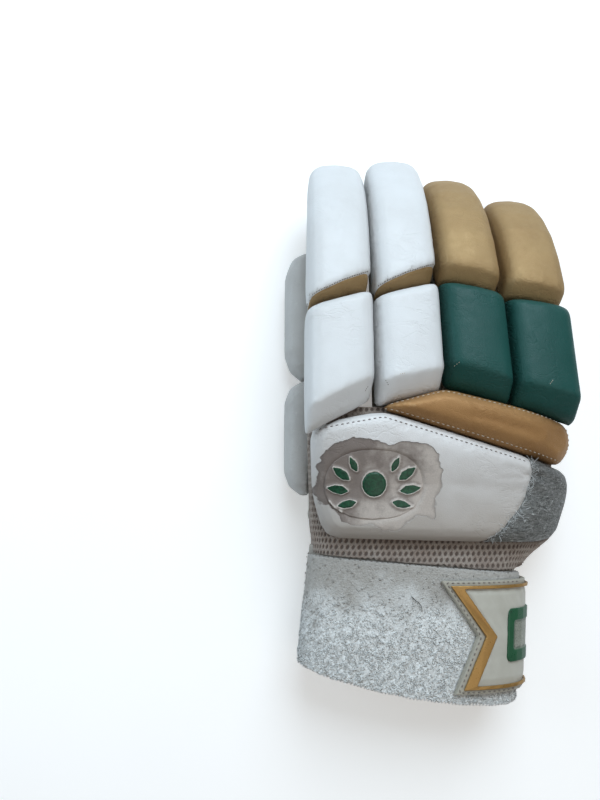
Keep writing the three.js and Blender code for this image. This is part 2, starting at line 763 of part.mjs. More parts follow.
function meshNode(name, solid, finish) {
  const data = solid.getMesh();
  const geometry = new THREE.BufferGeometry();
  const places = new Float32Array(data.numVert * 3);
  for (let i = 0; i < data.numVert; i++) {
    places.set(data.vertProperties.subarray(i * data.numProp, i * data.numProp + 3), i * 3);
  }
  geometry.setAttribute("position", new THREE.BufferAttribute(places, 3));
  geometry.setIndex(new THREE.BufferAttribute(new Uint32Array(data.triVerts), 1));
  geometry.computeVertexNormals();
  const mesh = new THREE.Mesh(geometry, new THREE.MeshStandardMaterial({ name: finish, ...FINISH[finish] }));
  mesh.name = name;
  return mesh;
}

const lines = FINGERS.map(restingLine);
const thumb = thumbLine();
const rootRegion = region([-200, rootY + fitGap, -50], [200, 300, 200]);
const handOutside = handBlock(0);
const handClear = handBlock(fitGap, wristY - cutReach, rootY);
const thumbStops = steps(0, thumbLength - stallNose, 4);

function thumbSolid(grow) {
  return loft(stallRings(thumb, thumbStops, stallNose, thumbWidth, thumbDepth, thumbNarrowing, grow));
}

function buildHand() {
  const group = new THREE.Group();
  const bores = lines.map((line) => fingerSolid(line, -shellWall, -stallBack));
  let shell = handOutside.subtract(handBlock(-shellWall, wristY - cutReach, rootY - shellWall));
  for (const bore of [...bores, thumbSolid(-shellWall)]) shell = shell.subtract(bore);
  group.add(meshNode("palm", mainBody(shell.intersect(palmRegion(0))), "cream"));
  group.add(meshNode("mesh_back", mainBody(shell.subtract(palmRegion(fitGap))), "mesh"));
  return group;
}

function buildStalls() {
  const group = new THREE.Group();
  FINGERS.forEach((finger, i) => {
    const tube = fingerSolid(lines[i], 0, -stallBack).subtract(fingerSolid(lines[i], -shellWall, -stallBack * 2));
    group.add(meshNode(`${finger.name}_stall`, mainBody(tube.intersect(rootRegion)), "cream"));
  });
  let tube = thumbSolid(0).subtract(thumbSolid(-shellWall)).subtract(handClear);
  FINGERS.forEach((finger, i) => {
    tube = tube.subtract(fingerSolid(lines[i], fitGap, 0));
  });
  group.add(meshNode("thumb_stall", mainBody(tube), "cream"));
  return group;
}

function buildFingerBlocks() {
  const group = new THREE.Group();
  FINGERS.forEach((finger, i) => {
    const line = lines[i];
    const clear = fingerSolid(line, fitGap, 0);
    const fit = (table, shape) => mainBody(loft(blockRings(line, table, shape)).subtract(clear).subtract(handClear));
    const knuckle = knuckleShape(finger, line);
    const tip = tipShape(finger, line);
    const panelled = finger.colour === "white";
    group.add(meshNode(`${finger.name}_knuckle_block`, fit(KNUCKLE_BLOCK, knuckle), panelled ? "white" : "green"));
    if (!panelled) {
      group.add(meshNode(`${finger.name}_tip_block`, fit(TIP_BLOCK, tip), "gold"));
      return;
    }
    const slope = finger.front + endPanelTaper;
    const panel = { ...tip, to: tip.from + endPanelLength, front: slope };
    const main = { ...tip, from: panel.to + fitGap, rear: slope };
    group.add(meshNode(`${finger.name}_end_panel`, fit(END_PANEL, panel), "gold"));
    group.add(meshNode(`${finger.name}_tip_block`, fit(PANELLED_TIP_BLOCK, main), "white"));
  });
  return group;
}

function knuckleShape(finger, line) {
  return {
    base: stallDepth / 2 + fitGap,
    width: knuckleBlockWidth,
    thickness: blockThickness,
    bevel: blockBevel,
    crown: blockCrown,
    depth: stallDepth,
    rear: finger.rear,
    front: finger.front,
    from: line.straight - knuckleBlockLength * finger.reach,
    to: line.straight - jointGap / 2,
  };
}

function tipShape(finger, line) {
  return {
    ...knuckleShape(finger, line),
    width: tipBlockWidth,
    rear: finger.front,
    front: 0,
    from: line.straight + jointGap / 2,
    to: line.end + tipOverhang,
  };
}

function buildThumbBlocks() {
  const group = new THREE.Group();
  const stallEnd = thumbLength;
  const overhang = 6;
  // The stall narrows, so each block reaches in to meet it.
  const shape = (from, to) => {
    const sunk = (thumbDepth / 2) * thumbNarrowing * Math.min(1, to / thumbLength);
    return { ...common, from, to, base: thumbDepth / 2 - sunk, thickness: thumbBlockThickness + sunk + fitGap };
  };
  const common = {
    width: thumbBlockWidth,
    bevel: blockBevel * 0.7,
    crown: blockCrown,
    depth: thumbDepth,
    rear: 0,
    front: 0,
  };
  const tipFrom = stallEnd + overhang - thumbTipLength;
  const tip = shape(tipFrom, stallEnd + overhang);
  const base = shape(thumbBaseStart, tipFrom - jointGap);
  const clear = lines.map((line) => fingerSolid(line, fitGap, 0)).reduce((a, b) => a.add(b), handClear);
  const fit = (solid) => mainBody(solid.subtract(clear).subtract(thumbSolid(fitGap)));
  group.add(meshNode("thumb_base_block", fit(loft(blockRings(thumb, THUMB_BLOCK, base))), "white"));
  group.add(meshNode("thumb_tip_block", fit(loft(blockRings(thumb, THUMB_BLOCK, tip))), "white"));
  return group;
}

function buildBack() {
  const group = new THREE.Group();
  const fills = [0.75, 0.45];
  const pad = cushion(cornersOf(BACK_PAD), 6, padLevels(backPadThickness), fills).subtract(handClear);
  const edge = cornersOf(SILVER_EDGE);
  const side = (shift) => {
    const ring = (z) =>
      [...edge.map((p) => new THREE.Vector3(p.x + shift, p.y, z)), new THREE.Vector3(150, 60, z)].concat([
        new THREE.Vector3(150, -150, z),
      ]);
    return loft([ring(-50), ring(150)]);
  };
  const swell = backPadThickness * 0.08;
  const top = backPadThickness + swell * 0.5;
  const recess = raised(badgeOval(1 + (2 * fitGap) / badgeHeight), top - badgeRelief - fitGap, top + 6, 1, [0.5]);
  const stalls = region([-200, rootY, -50], [200, 300, 200]);
  const blocks = lines.flatMap((line, i) => {
    const shape = knuckleShape(FINGERS[i], line);
    shape.base -= 2;
    shape.thickness += 4;
    shape.width += 2 * fitGap;
    shape.from -= 2 * fitGap;
    return [loft(blockRings(line, KNUCKLE_BLOCK, shape)), fingerSolid(line, fitGap, -stallBack).intersect(stalls)];
  });
  const clearOfBlocks = (solid) => mainBody(blocks.reduce((left, block) => left.subtract(block), solid));
  const roll = cushion(cornersOf(KNUCKLE_ROLL), 5, padLevels(rollThickness), [0.6]).subtract(handClear);
  const rollClear = cushion(
    cornersOf(KNUCKLE_ROLL),
    5,
    [
      { inset: -fitGap * 2, height: -8, swell: 0 },
      { inset: -fitGap * 2, height: rollThickness * 2, swell: 0 },
    ],
    [0.5],
  );
  const white = pad.subtract(side(-fitGap)).subtract(recess).subtract(rollClear);
  const silver = pad.intersect(side(0)).subtract(rollClear);
  group.add(meshNode("knuckle_roll", clearOfBlocks(roll), "gold"));
  group.add(meshNode("back_pad", clearOfBlocks(white), "cream"));
  group.add(meshNode("silver_corner", mainBody(silver), "silver"));
  group.add(meshNode("badge", mainBody(badgeSolid(top)), "green"));
  return group;
}

function buildWrist() {
  const group = new THREE.Group();
  const cuff = cuffBlock(0, 0).subtract(cuffBlock(-cuffWall, 0.1));
  group.add(meshNode("cuff", mainBody(cuff), "towel"));
  const strap = strapSolid(0, strapThickness).subtract(cuffBlock(fitGap * 0.9, 0.05));
  const strapClear = strapSolid(-1, strapThickness + fitGap * 0.9);
  group.add(meshNode("strap", mainBody(strap), "strap"));
  group.add(meshNode("strap_trim", mainBody(strapTrim().subtract(strapClear)), "gold"));
  group.add(meshNode("strap_tab", mainBody(strapTab().subtract(strapClear)), "green"));
  return group;
}

const glove = new THREE.Group();
glove.add(buildHand(), buildStalls(), buildFingerBlocks(), buildThumbBlocks(), buildBack(), buildWrist());

// The origin is the middle of the glove's footprint, on the surface it lies on.
glove.updateMatrixWorld(true);
const extent = new THREE.Box3().setFromObject(glove);
const middle = extent.getCenter(new THREE.Vector3());
glove.position.set(-middle.x, -middle.y, -extent.min.z);

export default glove;
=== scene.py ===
"""A right-hand cricket batting glove lying palm down, dressed for its renders.

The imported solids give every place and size. The padded blocks, the knuckle roll and the back pad are stuffed by a
short cloth simulation. The cuff is piled with loops, and each seam has its own stitches. Sizes are in metres.
"""

import json
import logging
import math
from dataclasses import dataclass, field
from enum import Enum
from typing import Callable, Iterable, Sequence

import bpy
import numpy as np
from mathutils import Matrix, Vector
from mathutils.bvhtree import BVHTree

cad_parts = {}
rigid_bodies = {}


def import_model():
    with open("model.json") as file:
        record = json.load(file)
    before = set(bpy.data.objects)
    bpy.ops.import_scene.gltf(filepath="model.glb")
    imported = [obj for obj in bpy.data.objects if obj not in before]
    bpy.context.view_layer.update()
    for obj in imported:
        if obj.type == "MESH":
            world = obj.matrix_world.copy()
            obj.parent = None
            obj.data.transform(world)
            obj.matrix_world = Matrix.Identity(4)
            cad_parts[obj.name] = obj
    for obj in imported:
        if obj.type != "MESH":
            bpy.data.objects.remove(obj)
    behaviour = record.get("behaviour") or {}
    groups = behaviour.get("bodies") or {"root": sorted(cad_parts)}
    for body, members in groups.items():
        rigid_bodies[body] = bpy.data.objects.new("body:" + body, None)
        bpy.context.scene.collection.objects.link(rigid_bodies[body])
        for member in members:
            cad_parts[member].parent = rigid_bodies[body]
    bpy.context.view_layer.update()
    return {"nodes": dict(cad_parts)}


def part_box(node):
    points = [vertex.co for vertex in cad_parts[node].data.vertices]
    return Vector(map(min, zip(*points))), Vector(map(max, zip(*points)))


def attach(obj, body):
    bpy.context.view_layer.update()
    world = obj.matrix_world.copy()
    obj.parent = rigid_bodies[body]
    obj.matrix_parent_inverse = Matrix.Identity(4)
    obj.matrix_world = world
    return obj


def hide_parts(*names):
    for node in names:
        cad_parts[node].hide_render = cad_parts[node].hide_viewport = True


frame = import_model()
MM = 0.001
Colour = tuple[float, float, float]
Points = np.ndarray

logging.basicConfig(level=logging.INFO, format="%(message)s")
log = logging.getLogger("glove")


class Slot(Enum):
    """The record's material slots."""

    WHITE = "white_leather"
    CREAM = "cream_leather"
    PALM = "palm_leather"
    GOLD = "gold_leather"
    GREEN = "green_leather"
    SILVER = "silver_foil"
    BADGE = "badge_green"
    SPACER = "spacer_mesh"
    TOWEL = "towelling"
    STRAP = "strap_white"
    TRIM = "trim_gold"


# ---------------------------------------------------------------- the bench


def pick(*pieces: bpy.types.Object) -> None:
    """Selects these pieces alone and makes the last one active.

    Args:
        pieces: The pieces to select.
    """
    for other in bpy.context.view_layer.objects:
        other.select_set(False)
    for piece in pieces:
        piece.select_set(True)
    bpy.context.view_layer.objects.active = pieces[-1]


def copy_of(name: str, *nodes: str) -> bpy.types.Object:
    """Copies CAD nodes' meshes into one piece, with its loose corners merged.

    Args:
        name: The new piece's name.
        nodes: The CAD nodes.

    Returns:
        The new piece.
    """
    copies = []
    for node in nodes:
        copy = bpy.data.objects.new(name, frame["nodes"][node].data.copy())
        bpy.context.scene.collection.objects.link(copy)
        copy.data.materials.clear()
        copies.append(copy)
    piece = copies[-1]
    pick(*copies)
    if len(copies) > 1:
        bpy.ops.object.join()
    piece.name = piece.data.name = name
    bpy.ops.object.mode_set(mode="EDIT")
    bpy.ops.mesh.select_all(action="SELECT")
    bpy.ops.mesh.remove_doubles(threshold=1e-5)
    bpy.ops.object.mode_set(mode="OBJECT")
    return piece


def modify(piece: bpy.types.Object, kind: str, **settings: object) -> None:
    """Adds a modifier to a piece and applies it.

    Args:
        piece: The piece to change.
        kind: The modifier's type.
        settings: Its properties.
    """
    modifier = piece.modifiers.new("Step", kind)
    for key, value in settings.items():
        setattr(modifier, key, value)
    pick(piece)
    bpy.ops.object.modifier_apply(modifier=modifier.name)


def subdivided(piece: bpy.types.Object, levels: int = 1) -> None:
    """Smooths a piece by subdivision, and applies it.

    Args:
        piece: The piece to change.
        levels: How many times its faces are divided.
    """
    modify(piece, "SUBSURF", levels=levels, render_levels=levels)


def remeshed(name: str, voxel: float, smoothing: int, *nodes: str, patch: bpy.types.Object | None = None) -> bpy.types.Object:
    """Copies CAD nodes into even small faces and takes the sharpness off their facets.

    Args:
        name: The new piece's name.
        voxel: The size of the faces.
        smoothing: Rounds of smoothing.
        nodes: The CAD nodes.
        patch: A solid that is melted into them.

    Returns:
        The new piece.
    """
    piece = copy_of(name, *nodes)
    if patch:
        pick(patch, piece)
        bpy.ops.object.join()
    piece.data.remesh_voxel_size = voxel
    piece.data.remesh_voxel_adaptivity = 0
    pick(piece)
    bpy.ops.object.voxel_remesh()
    if smoothing:
        modify(piece, "SMOOTH", factor=0.5, iterations=smoothing)
    return piece


def points_of(piece: bpy.types.Object) -> Points:
    """The places of a piece's points, one row each."""
    flat = np.zeros(len(piece.data.vertices) * 3, np.float32)
    piece.data.vertices.foreach_get("co", flat)
    return flat.reshape(-1, 3).astype(float)


def move_points(piece: bpy.types.Object, places: Points) -> None:
    """Puts a piece's points at new places.

    Args:
        piece: The piece to change.
        places: One row for each point.
    """
    piece.data.vertices.foreach_set("co", places.astype(np.float32).ravel())
    piece.data.update()


def normals_of(piece: bpy.types.Object) -> Points:
    """The outward direction at each of a piece's points, one row each."""
    flat = np.zeros(len(piece.data.vertices) * 3, np.float32)
    piece.data.vertices.foreach_get("normal", flat)
    return flat.reshape(-1, 3).astype(float)


def paint(piece: bpy.types.Object, name: str, values: np.ndarray) -> None:
    """Writes one number at each point, for the finish to read.

    Args:
        piece: The piece to write on.
        name: The attribute's name.
        values: One number for each point.
    """
    layer = piece.data.attributes.new(name, "FLOAT", "POINT")
    layer.data.foreach_set("value", values.astype(np.float32))


def edges_of(piece: bpy.types.Object) -> np.ndarray:
    """The two ends of each of a piece's edges, one row each."""
    flat = np.zeros(len(piece.data.edges) * 2, np.int32)
    piece.data.edges.foreach_get("vertices", flat)
    return flat.reshape(-1, 2)


def spread(values: np.ndarray, edges: np.ndarray, rounds: int) -> np.ndarray:
    """Averages each point's number with its neighbours' numbers.

    Args:
        values: One number for each point.
        edges: The two ends of each edge.
        rounds: How many times it is done.

    Returns:
        The evened numbers.
    """
    count = np.bincount(edges.ravel(), minlength=len(values)).astype(float)
    for _ in range(rounds):
        total = np.bincount(edges[:, 0], values[edges[:, 1]], len(values))
        total += np.bincount(edges[:, 1], values[edges[:, 0]], len(values))
        values = np.where(count > 0, 0.5 * values + 0.5 * total / np.maximum(count, 1), values)
    return values


def bends_of(piece: bpy.types.Object) -> np.ndarray:
    """How sharply the surface bends outwards at each point, in radians per millimetre, inwards negative."""
    places, out, edges = points_of(piece), normals_of(piece), edges_of(piece)
    along = places[edges[:, 1]] - places[edges[:, 0]]
    length = np.maximum(np.linalg.norm(along, axis=1), 1e-9)
    turn = ((out[edges[:, 1]] - out[edges[:, 0]]) * along).sum(1) / length**2 * MM
    total = np.bincount(edges[:, 0], turn, len(places)) + np.bincount(edges[:, 1], turn, len(places))
    count = np.bincount(edges.ravel(), minlength=len(places))
    return spread(total / np.maximum(count, 1), edges, 3)


def surface_of(*pieces: bpy.types.Object) -> BVHTree:
    """The faces of some pieces, ready to be searched."""
    places, faces = [], []
    for piece in pieces:
        start = len(places)
        places += [v.co.copy() for v in piece.data.vertices]
        faces += [[start + i for i in p.vertices] for p in piece.data.polygons]
    return BVHTree.FromPolygons(places, faces)


def faces_of(piece: bpy.types.Object) -> tuple[Points, Points, np.ndarray]:
    """The middles, the outward directions and the areas of a piece's faces."""
    count = len(piece.data.polygons)
    middles, out, areas = (np.zeros(count * k, np.float32) for k in (3, 3, 1))
    piece.data.polygons.foreach_get("center", middles)
    piece.data.polygons.foreach_get("normal", out)
    piece.data.polygons.foreach_get("area", areas)
    return middles.reshape(-1, 3).astype(float), out.reshape(-1, 3).astype(float), areas.astype(float)


def select_faces(piece: bpy.types.Object, chosen: np.ndarray) -> None:
    """Opens a piece for editing with only these faces selected.

    Args:
        piece: The piece.
        chosen: True for each face that is selected.
    """
    mesh = piece.data
    mesh.vertices.foreach_set("select", np.zeros(len(mesh.vertices), bool))
    mesh.edges.foreach_set("select", np.zeros(len(mesh.edges), bool))
    mesh.polygons.foreach_set("select", chosen)
    pick(piece)
    bpy.context.tool_settings.mesh_select_mode = (False, False, True)
    bpy.ops.object.mode_set(mode="EDIT")


def course(path: Points, pitch: float) -> Points:
    """Places at an even pitch along a line of points.

    Args:
        path: The line's points, one row each, with other numbers after z if they are wanted too.
        pitch: The distance between places.

    Returns:
        The places.
    """
    run = np.concatenate([[0], np.cumsum(np.linalg.norm(np.diff(path[:, :3], axis=0), axis=1))])
    stops = np.arange(pitch / 2, run[-1], pitch)
    return np.column_stack([np.interp(stops, run, path[:, k]) for k in range(path.shape[1])])


def dropped(surface: BVHTree, places: Points) -> tuple[Points, Points]:
    """Drops places straight down onto a surface.

    Args:
        surface: The surface.
        places: x and y of each place.

    Returns:
        The places on the surface, and its outward direction at each.
    """
    found, out = [], []
    for x, y in places[:, :2]:
        spot, normal, *_ = surface.ray_cast(Vector((x, y, 0.2)), Vector((0, 0, -1)))
        if spot is not None:
            found.append(spot)
            out.append(normal)
    return np.array(found), np.array(out)


@dataclass
class Neighbours:
    """Finds how near each point of a piece lies to the other solids, for the dirt that gathers there and the shade
    painted there.

    Attributes:
        reach: The distance over which dirt fades away.
    """

    reach: float = 2.2 * MM

    def closeness(self, piece: bpy.types.Object, own: Sequence[str]) -> np.ndarray:
        """Measures a piece against every CAD node but its own.

        Args:
            piece: The piece to measure.
            own: The CAD nodes that the piece stands for.

        Returns:
            1 where it touches a neighbour, falling to 0 away from them, one number for each point.
        """
        others = surface_of(*(node for name, node in frame["nodes"].items() if name not in own))
        result = np.zeros(len(piece.data.vertices))
        for i, place in enumerate(points_of(piece)):
            far = others.find_nearest(Vector(place), self.reach * 3)[3]
            if far is not None:
                result[i] = math.exp(-far / self.reach)
        return result


NEIGHBOURS = Neighbours()


def dress(piece: bpy.types.Object, own: Sequence[str]) -> None:
    """Writes the numbers that every finish reads: dirt and painted shade near the seams, painted shade in hollows where
    the surface bends inwards, and wear where it bends outwards.

    Args:
        piece: The piece to write on.
        own: The CAD nodes that it stands for.
    """
    bends = bends_of(piece)
    paint(piece, "seam_grime_and_shade", NEIGHBOURS.closeness(piece, own))
    paint(piece, "edge", np.clip(bends / 0.35, 0, 1))
    paint(piece, "hollow_shade", np.clip(-bends / 0.2, 0, 1))


def scattered(shape: tuple[Points, np.ndarray], places: Points, frames: Points, name: str) -> bpy.types.Object:
    """Copies one small shape to many places and joins the copies.

    Args:
        shape: The shape's points and its triangles.
        places: Where each copy goes.
        frames: Three rows for each copy, its axes with their lengths.
        name: The new piece's name.

    Returns:
        The new piece.
    """
    points, faces = shape
    moved = np.einsum("pk,nkd->npd", points, frames) + places[:, None, :]
    triangles = faces[None] + (np.arange(len(places)) * len(points))[:, None, None]
    mesh = bpy.data.meshes.new(name)
    mesh.from_pydata(moved.reshape(-1, 3).tolist(), [], triangles.reshape(-1, 3).tolist())
    piece = bpy.data.objects.new(name, mesh)
    bpy.context.scene.collection.objects.link(piece)
    return piece


def strand(path: Sequence[Colour], radii: Sequence[float], sides: int) -> tuple[Points, np.ndarray]:
    """Models a short thread along x by extruding a ring from point to point.

    Args:
        path: The points that it follows.
        radii: Its radius at each.
        sides: How many sides it has.

    Returns:
        Its points and its triangles.
    """
    bpy.ops.object.select_all(action="DESELECT")
    bpy.ops.mesh.primitive_circle_add(
        vertices=sides, radius=radii[0], fill_type="NGON", location=path[0], rotation=(0, math.pi / 2, 0)
    )
    piece = bpy.context.object
    bpy.ops.object.transform_apply(location=True, rotation=True, scale=True)
    bpy.ops.object.mode_set(mode="EDIT")
    bpy.ops.mesh.select_all(action="SELECT")
    for here, there, old, new in zip(path, path[1:], radii, radii[1:]):
        step = tuple(b - a for a, b in zip(here, there))
        bpy.ops.mesh.extrude_region_move(TRANSFORM_OT_translate={"value": step})
        bpy.ops.transform.resize(value=(new / old,) * 3, center_override=there)
    bpy.ops.mesh.select_all(action="SELECT")
    bpy.ops.mesh.normals_make_consistent(inside=False)
    bpy.ops.object.mode_set(mode="OBJECT")
    modify(piece, "TRIANGULATE")
    faces = np.array([list(p.vertices) for p in piece.data.polygons])
    places = points_of(piece)
    bpy.data.objects.remove(piece)
    return places, faces


def axes(forward: Points, up: Points) -> tuple[Points, Points, Points]:
    """Makes square axes from two directions for each copy.

    Args:
        forward: The first axis, one row each.
        up: Roughly the third axis, one row each.

    Returns:
        The first, second and third axes.
    """
    forward = forward / np.maximum(np.linalg.norm(forward, axis=1, keepdims=True), 1e-12)
    side = np.cross(up, forward)
    side /= np.maximum(np.linalg.norm(side, axis=1, keepdims=True), 1e-12)
    return forward, side, np.cross(forward, side)


# ---------------------------------------------------------------- the finishes


class Recipe:
    """Builds one material's nodes. Lengths in it are millimetres on the object."""

    def __init__(self, name: str) -> None:
        """Starts a material with only its shader.

        Args:
            name: The material's name.
        """
        self.material = bpy.data.materials.new(name)
        self.material.use_nodes = True
        self.tree = self.material.node_tree
        self.tree.nodes.clear()
        self.shader = self.add("ShaderNodeBsdfPrincipled")
        output = self.add("ShaderNodeOutputMaterial")
        self.join(self.shader.outputs["BSDF"], output.inputs["Surface"])
        self.place = self.add("ShaderNodeTexCoord").outputs["Object"]

    def add(self, kind: str, **settings: object) -> bpy.types.Node:
        """Adds a node with these properties."""
        node = self.tree.nodes.new(kind)
        for key, value in settings.items():
            setattr(node, key, value)
        return node

    def join(self, start: object, end: bpy.types.NodeSocket) -> None:
        """Feeds an input from an output, or sets it to a number or colour.

        Args:
            start: An output, a number, or a colour.
            end: The input.
        """
        if isinstance(start, bpy.types.NodeSocket):
            self.tree.links.new(start, end)
        elif isinstance(start, tuple) and end.type == "RGBA":
            end.default_value = (*start, 1.0)
        else:
            end.default_value = start

    def mapped(self, size: float | Colour, middle: Colour = (0, 0, 0), turn: Colour = (0, 0, 0)) -> bpy.types.NodeSocket:
        """The place on the object, counted in steps of a size.

        Args:
            size: The step in millimetres, or one for each axis.
            middle: The place that becomes the zero point, in metres.
            turn: The turn about each axis, in degrees.

        Returns:
            The vector.
        """
        steps = size if isinstance(size, tuple) else (size, size, size)
        moved = self.add("ShaderNodeVectorMath", operation="SUBTRACT")
        self.join(self.place, moved.inputs[0])
        moved.inputs[1].default_value = middle
        node = self.add("ShaderNodeMapping", vector_type="POINT")
        self.join(moved.outputs[0], node.inputs["Vector"])
        node.inputs["Rotation"].default_value = tuple(math.radians(a) for a in turn)
        node.inputs["Scale"].default_value = tuple(1 / (s * MM) for s in steps)
        return node.outputs["Vector"]

    def noise(self, where: bpy.types.NodeSocket, detail: float = 2, rough: float = 0.5, warp: float = 0) -> bpy.types.NodeSocket:
        """Soft noise, one lump for each step."""
        node = self.add("ShaderNodeTexNoise")
        self.join(where, node.inputs["Vector"])
        node.inputs["Scale"].default_value = 1
        node.inputs["Detail"].default_value = detail
        node.inputs["Roughness"].default_value = rough
        node.inputs["Distortion"].default_value = warp
        return node.outputs["Fac"]

    def cells(self, where: bpy.types.NodeSocket, feature: str = "F1", output: str = "Distance", loose: float = 1) -> bpy.types.NodeSocket:
        """Cells, one for each step."""
        node = self.add("ShaderNodeTexVoronoi", feature=feature)
        self.join(where, node.inputs["Vector"])
        node.inputs["Scale"].default_value = 1
        node.inputs["Randomness"].default_value = loose
        return node.outputs[output]

    def read(self, name: str) -> bpy.types.NodeSocket:
        """A number written on the piece's points."""
        return self.add("ShaderNodeAttribute", attribute_name=name).outputs["Fac"]

    def sum(self, operation: str, *values: object) -> bpy.types.NodeSocket:
        """Arithmetic on numbers."""
        node = self.add("ShaderNodeMath", operation=operation)
        for value, end in zip(values, node.inputs):
            self.join(value, end)
        return node.outputs[0]

    def span(self, value: object, low: float, high: float, start: float = 0, end: float = 1) -> bpy.types.NodeSocket:
        """Stretches a number from one range to another, and holds it there."""
        node = self.add("ShaderNodeMapRange")
        for given, socket in zip((value, low, high, start, end), node.inputs):
            self.join(given, socket)
        return node.outputs["Result"]

    def blend(self, share: object, first: object, second: object, mode: str = "MIX") -> bpy.types.NodeSocket:
        """Mixes two colours."""
        node = self.add("ShaderNodeMix", data_type="RGBA", blend_type=mode)
        self.join(share, node.inputs["Factor"])
        self.join(first, node.inputs[6])
        self.join(second, node.inputs[7])
        return node.outputs[2]

    def relief(self, height: bpy.types.NodeSocket, depth: float, strength: float = 1, over: object = None) -> bpy.types.NodeSocket:
        """Relief from a height of 0 to 1.

        Args:
            height: The height.
            depth: Its depth in millimetres.
            strength: How much of it shows.
            over: Relief that it lies on.

        Returns:
            The surface's direction.
        """
        node = self.add("ShaderNodeBump")
        node.inputs["Strength"].default_value = strength
        node.inputs["Distance"].default_value = depth * MM
        self.join(height, node.inputs["Height"])
        if over is not None:
            self.join(over, node.inputs["Normal"])
        return node.outputs["Normal"]

    def set(self, **values: object) -> None:
        """Sets the shader's own sockets, by their names with _ for a space."""
        for key, value in values.items():
            self.join(value, self.shader.inputs[key.replace("_", " ")])


@dataclass(frozen=True)
class Leather:
    """Coated leather, grained, creased, dirty along its seams and rubbed along its edges, with painted shade at its
    seams and in its hollows.

    Attributes:
        name: The material's name.
        slot: The record's slot.
        tone: Its colour.
        deep: Its colour in stains, and its painted shade in hollows.
        rubbed: Its colour along edges.
        dirt_and_shade: The colour of the dirt and the painted shade at its seams.
        pebble: Size of the grain, millimetres.
        depth: Depth of the grain, millimetres.
        creases: How much it is creased.
        rough: Its roughness.
        metal: How metallic it is.
        soil_and_shade: How dirty it is, and how dark its painted shade is at the seams and in the hollows.
        scuffed: How scuffed its edges are.
        shine: How much light it mirrors.
    """

    name: str
    slot: Slot
    tone: Colour
    deep: Colour
    rubbed: Colour
    dirt_and_shade: Colour = (0.16, 0.14, 0.12)
    pebble: float = 0.9
    depth: float = 0.06
    creases: float = 0.5
    rough: float = 0.45
    metal: float = 0.0
    soil_and_shade: float = 0.5
    scuffed: float = 0.5
    shine: float = 0.5

    def grain(self, recipe: Recipe) -> bpy.types.NodeSocket:
        """The height of the grain."""
        warp = recipe.noise(recipe.mapped(self.pebble * 2.2), 2)
        cells = recipe.cells(recipe.mapped(self.pebble), "DISTANCE_TO_EDGE")
        pebbles = recipe.span(cells, 0.0, 0.22)
        fine = recipe.noise(recipe.mapped(self.pebble * 0.45), 3, 0.6)
        return recipe.sum("MULTIPLY_ADD", pebbles, recipe.span(warp, 0.25, 0.75, 0.35, 0.8), recipe.sum("MULTIPLY", fine, 0.5))

    def folds(self, recipe: Recipe) -> bpy.types.NodeSocket:
        """The height of soft creases, deepest near the seams."""
        lines = recipe.noise(recipe.mapped((9.0, 5.0, 7.0), turn=(12, 8, 25)), 3, 0.55, 0.9)
        narrow = recipe.sum("ABSOLUTE", recipe.sum("SUBTRACT", lines, 0.5))
        trough = recipe.span(narrow, 0.0, 0.045)
        where = recipe.span(recipe.noise(recipe.mapped(22.0), 1), 0.42, 0.62)
        near = recipe.sum("MAXIMUM", recipe.span(recipe.read("seam_grime_and_shade"), 0.02, 0.5), recipe.sum("MULTIPLY", where, 0.45))
        return recipe.sum("SUBTRACT", 1.0, recipe.sum("MULTIPLY", recipe.sum("SUBTRACT", 1.0, trough), near))

    def colour(self, recipe: Recipe) -> bpy.types.NodeSocket:
        """The colour, with its stains, dirt and wear."""
        cloudy = recipe.noise(recipe.mapped(26.0), 4, 0.6)
        patchy = recipe.noise(recipe.mapped(4.5), 4, 0.65)
        base = recipe.blend(recipe.span(cloudy, 0.3, 0.75, 0.0, 0.35), self.tone, self.deep)
        stains = recipe.sum("MULTIPLY", recipe.span(patchy, 0.5, 0.78), recipe.span(cloudy, 0.45, 0.7))
        base = recipe.blend(recipe.sum("MULTIPLY", stains, self.soil_and_shade * 0.45), base, self.deep)
        # Dirt in patches near the seams, which also paints the shade where the leather meets its neighbours.
        seam_grime_and_shade = recipe.sum("MULTIPLY", recipe.read("seam_grime_and_shade"), recipe.span(patchy, 0.25, 0.7, 0.45, 1.0))
        base = recipe.blend(recipe.sum("MULTIPLY", seam_grime_and_shade, self.soil_and_shade), base, self.dirt_and_shade)
        # Painted shade in the hollows, where the surface bends inwards.
        hollow_shade = recipe.sum("MULTIPLY", recipe.read("hollow_shade"), self.soil_and_shade * 0.6)
        base = recipe.blend(hollow_shade, base, self.deep)
        flecks = recipe.span(recipe.noise(recipe.mapped(1.6), 5, 0.7), 0.46, 0.62)
        rub = recipe.sum("MULTIPLY", recipe.span(recipe.read("edge"), 0.15, 0.75), recipe.sum("MULTIPLY", flecks, self.scuffed))
        return recipe.blend(rub, base, self.rubbed)

    def material(self) -> bpy.types.Material:
        """Builds the material."""
        recipe = Recipe(self.name)
        grain, folds = self.grain(recipe), self.folds(recipe)
        normal = recipe.relief(folds, 0.35 * self.creases)
        normal = recipe.relief(grain, self.depth, 0.9, normal)
        uneven = recipe.noise(recipe.mapped(3.0), 3)
        rough = recipe.span(uneven, 0.2, 0.8, self.rough - 0.08, self.rough + 0.1)
        recipe.set(
            Base_Color=self.colour(recipe),
            Roughness=recipe.sum("MULTIPLY_ADD", recipe.read("seam_grime_and_shade"), 0.2, rough),
            Metallic=self.metal,
            Specular_IOR_Level=self.shine,
            Normal=normal,
        )
        return recipe.material


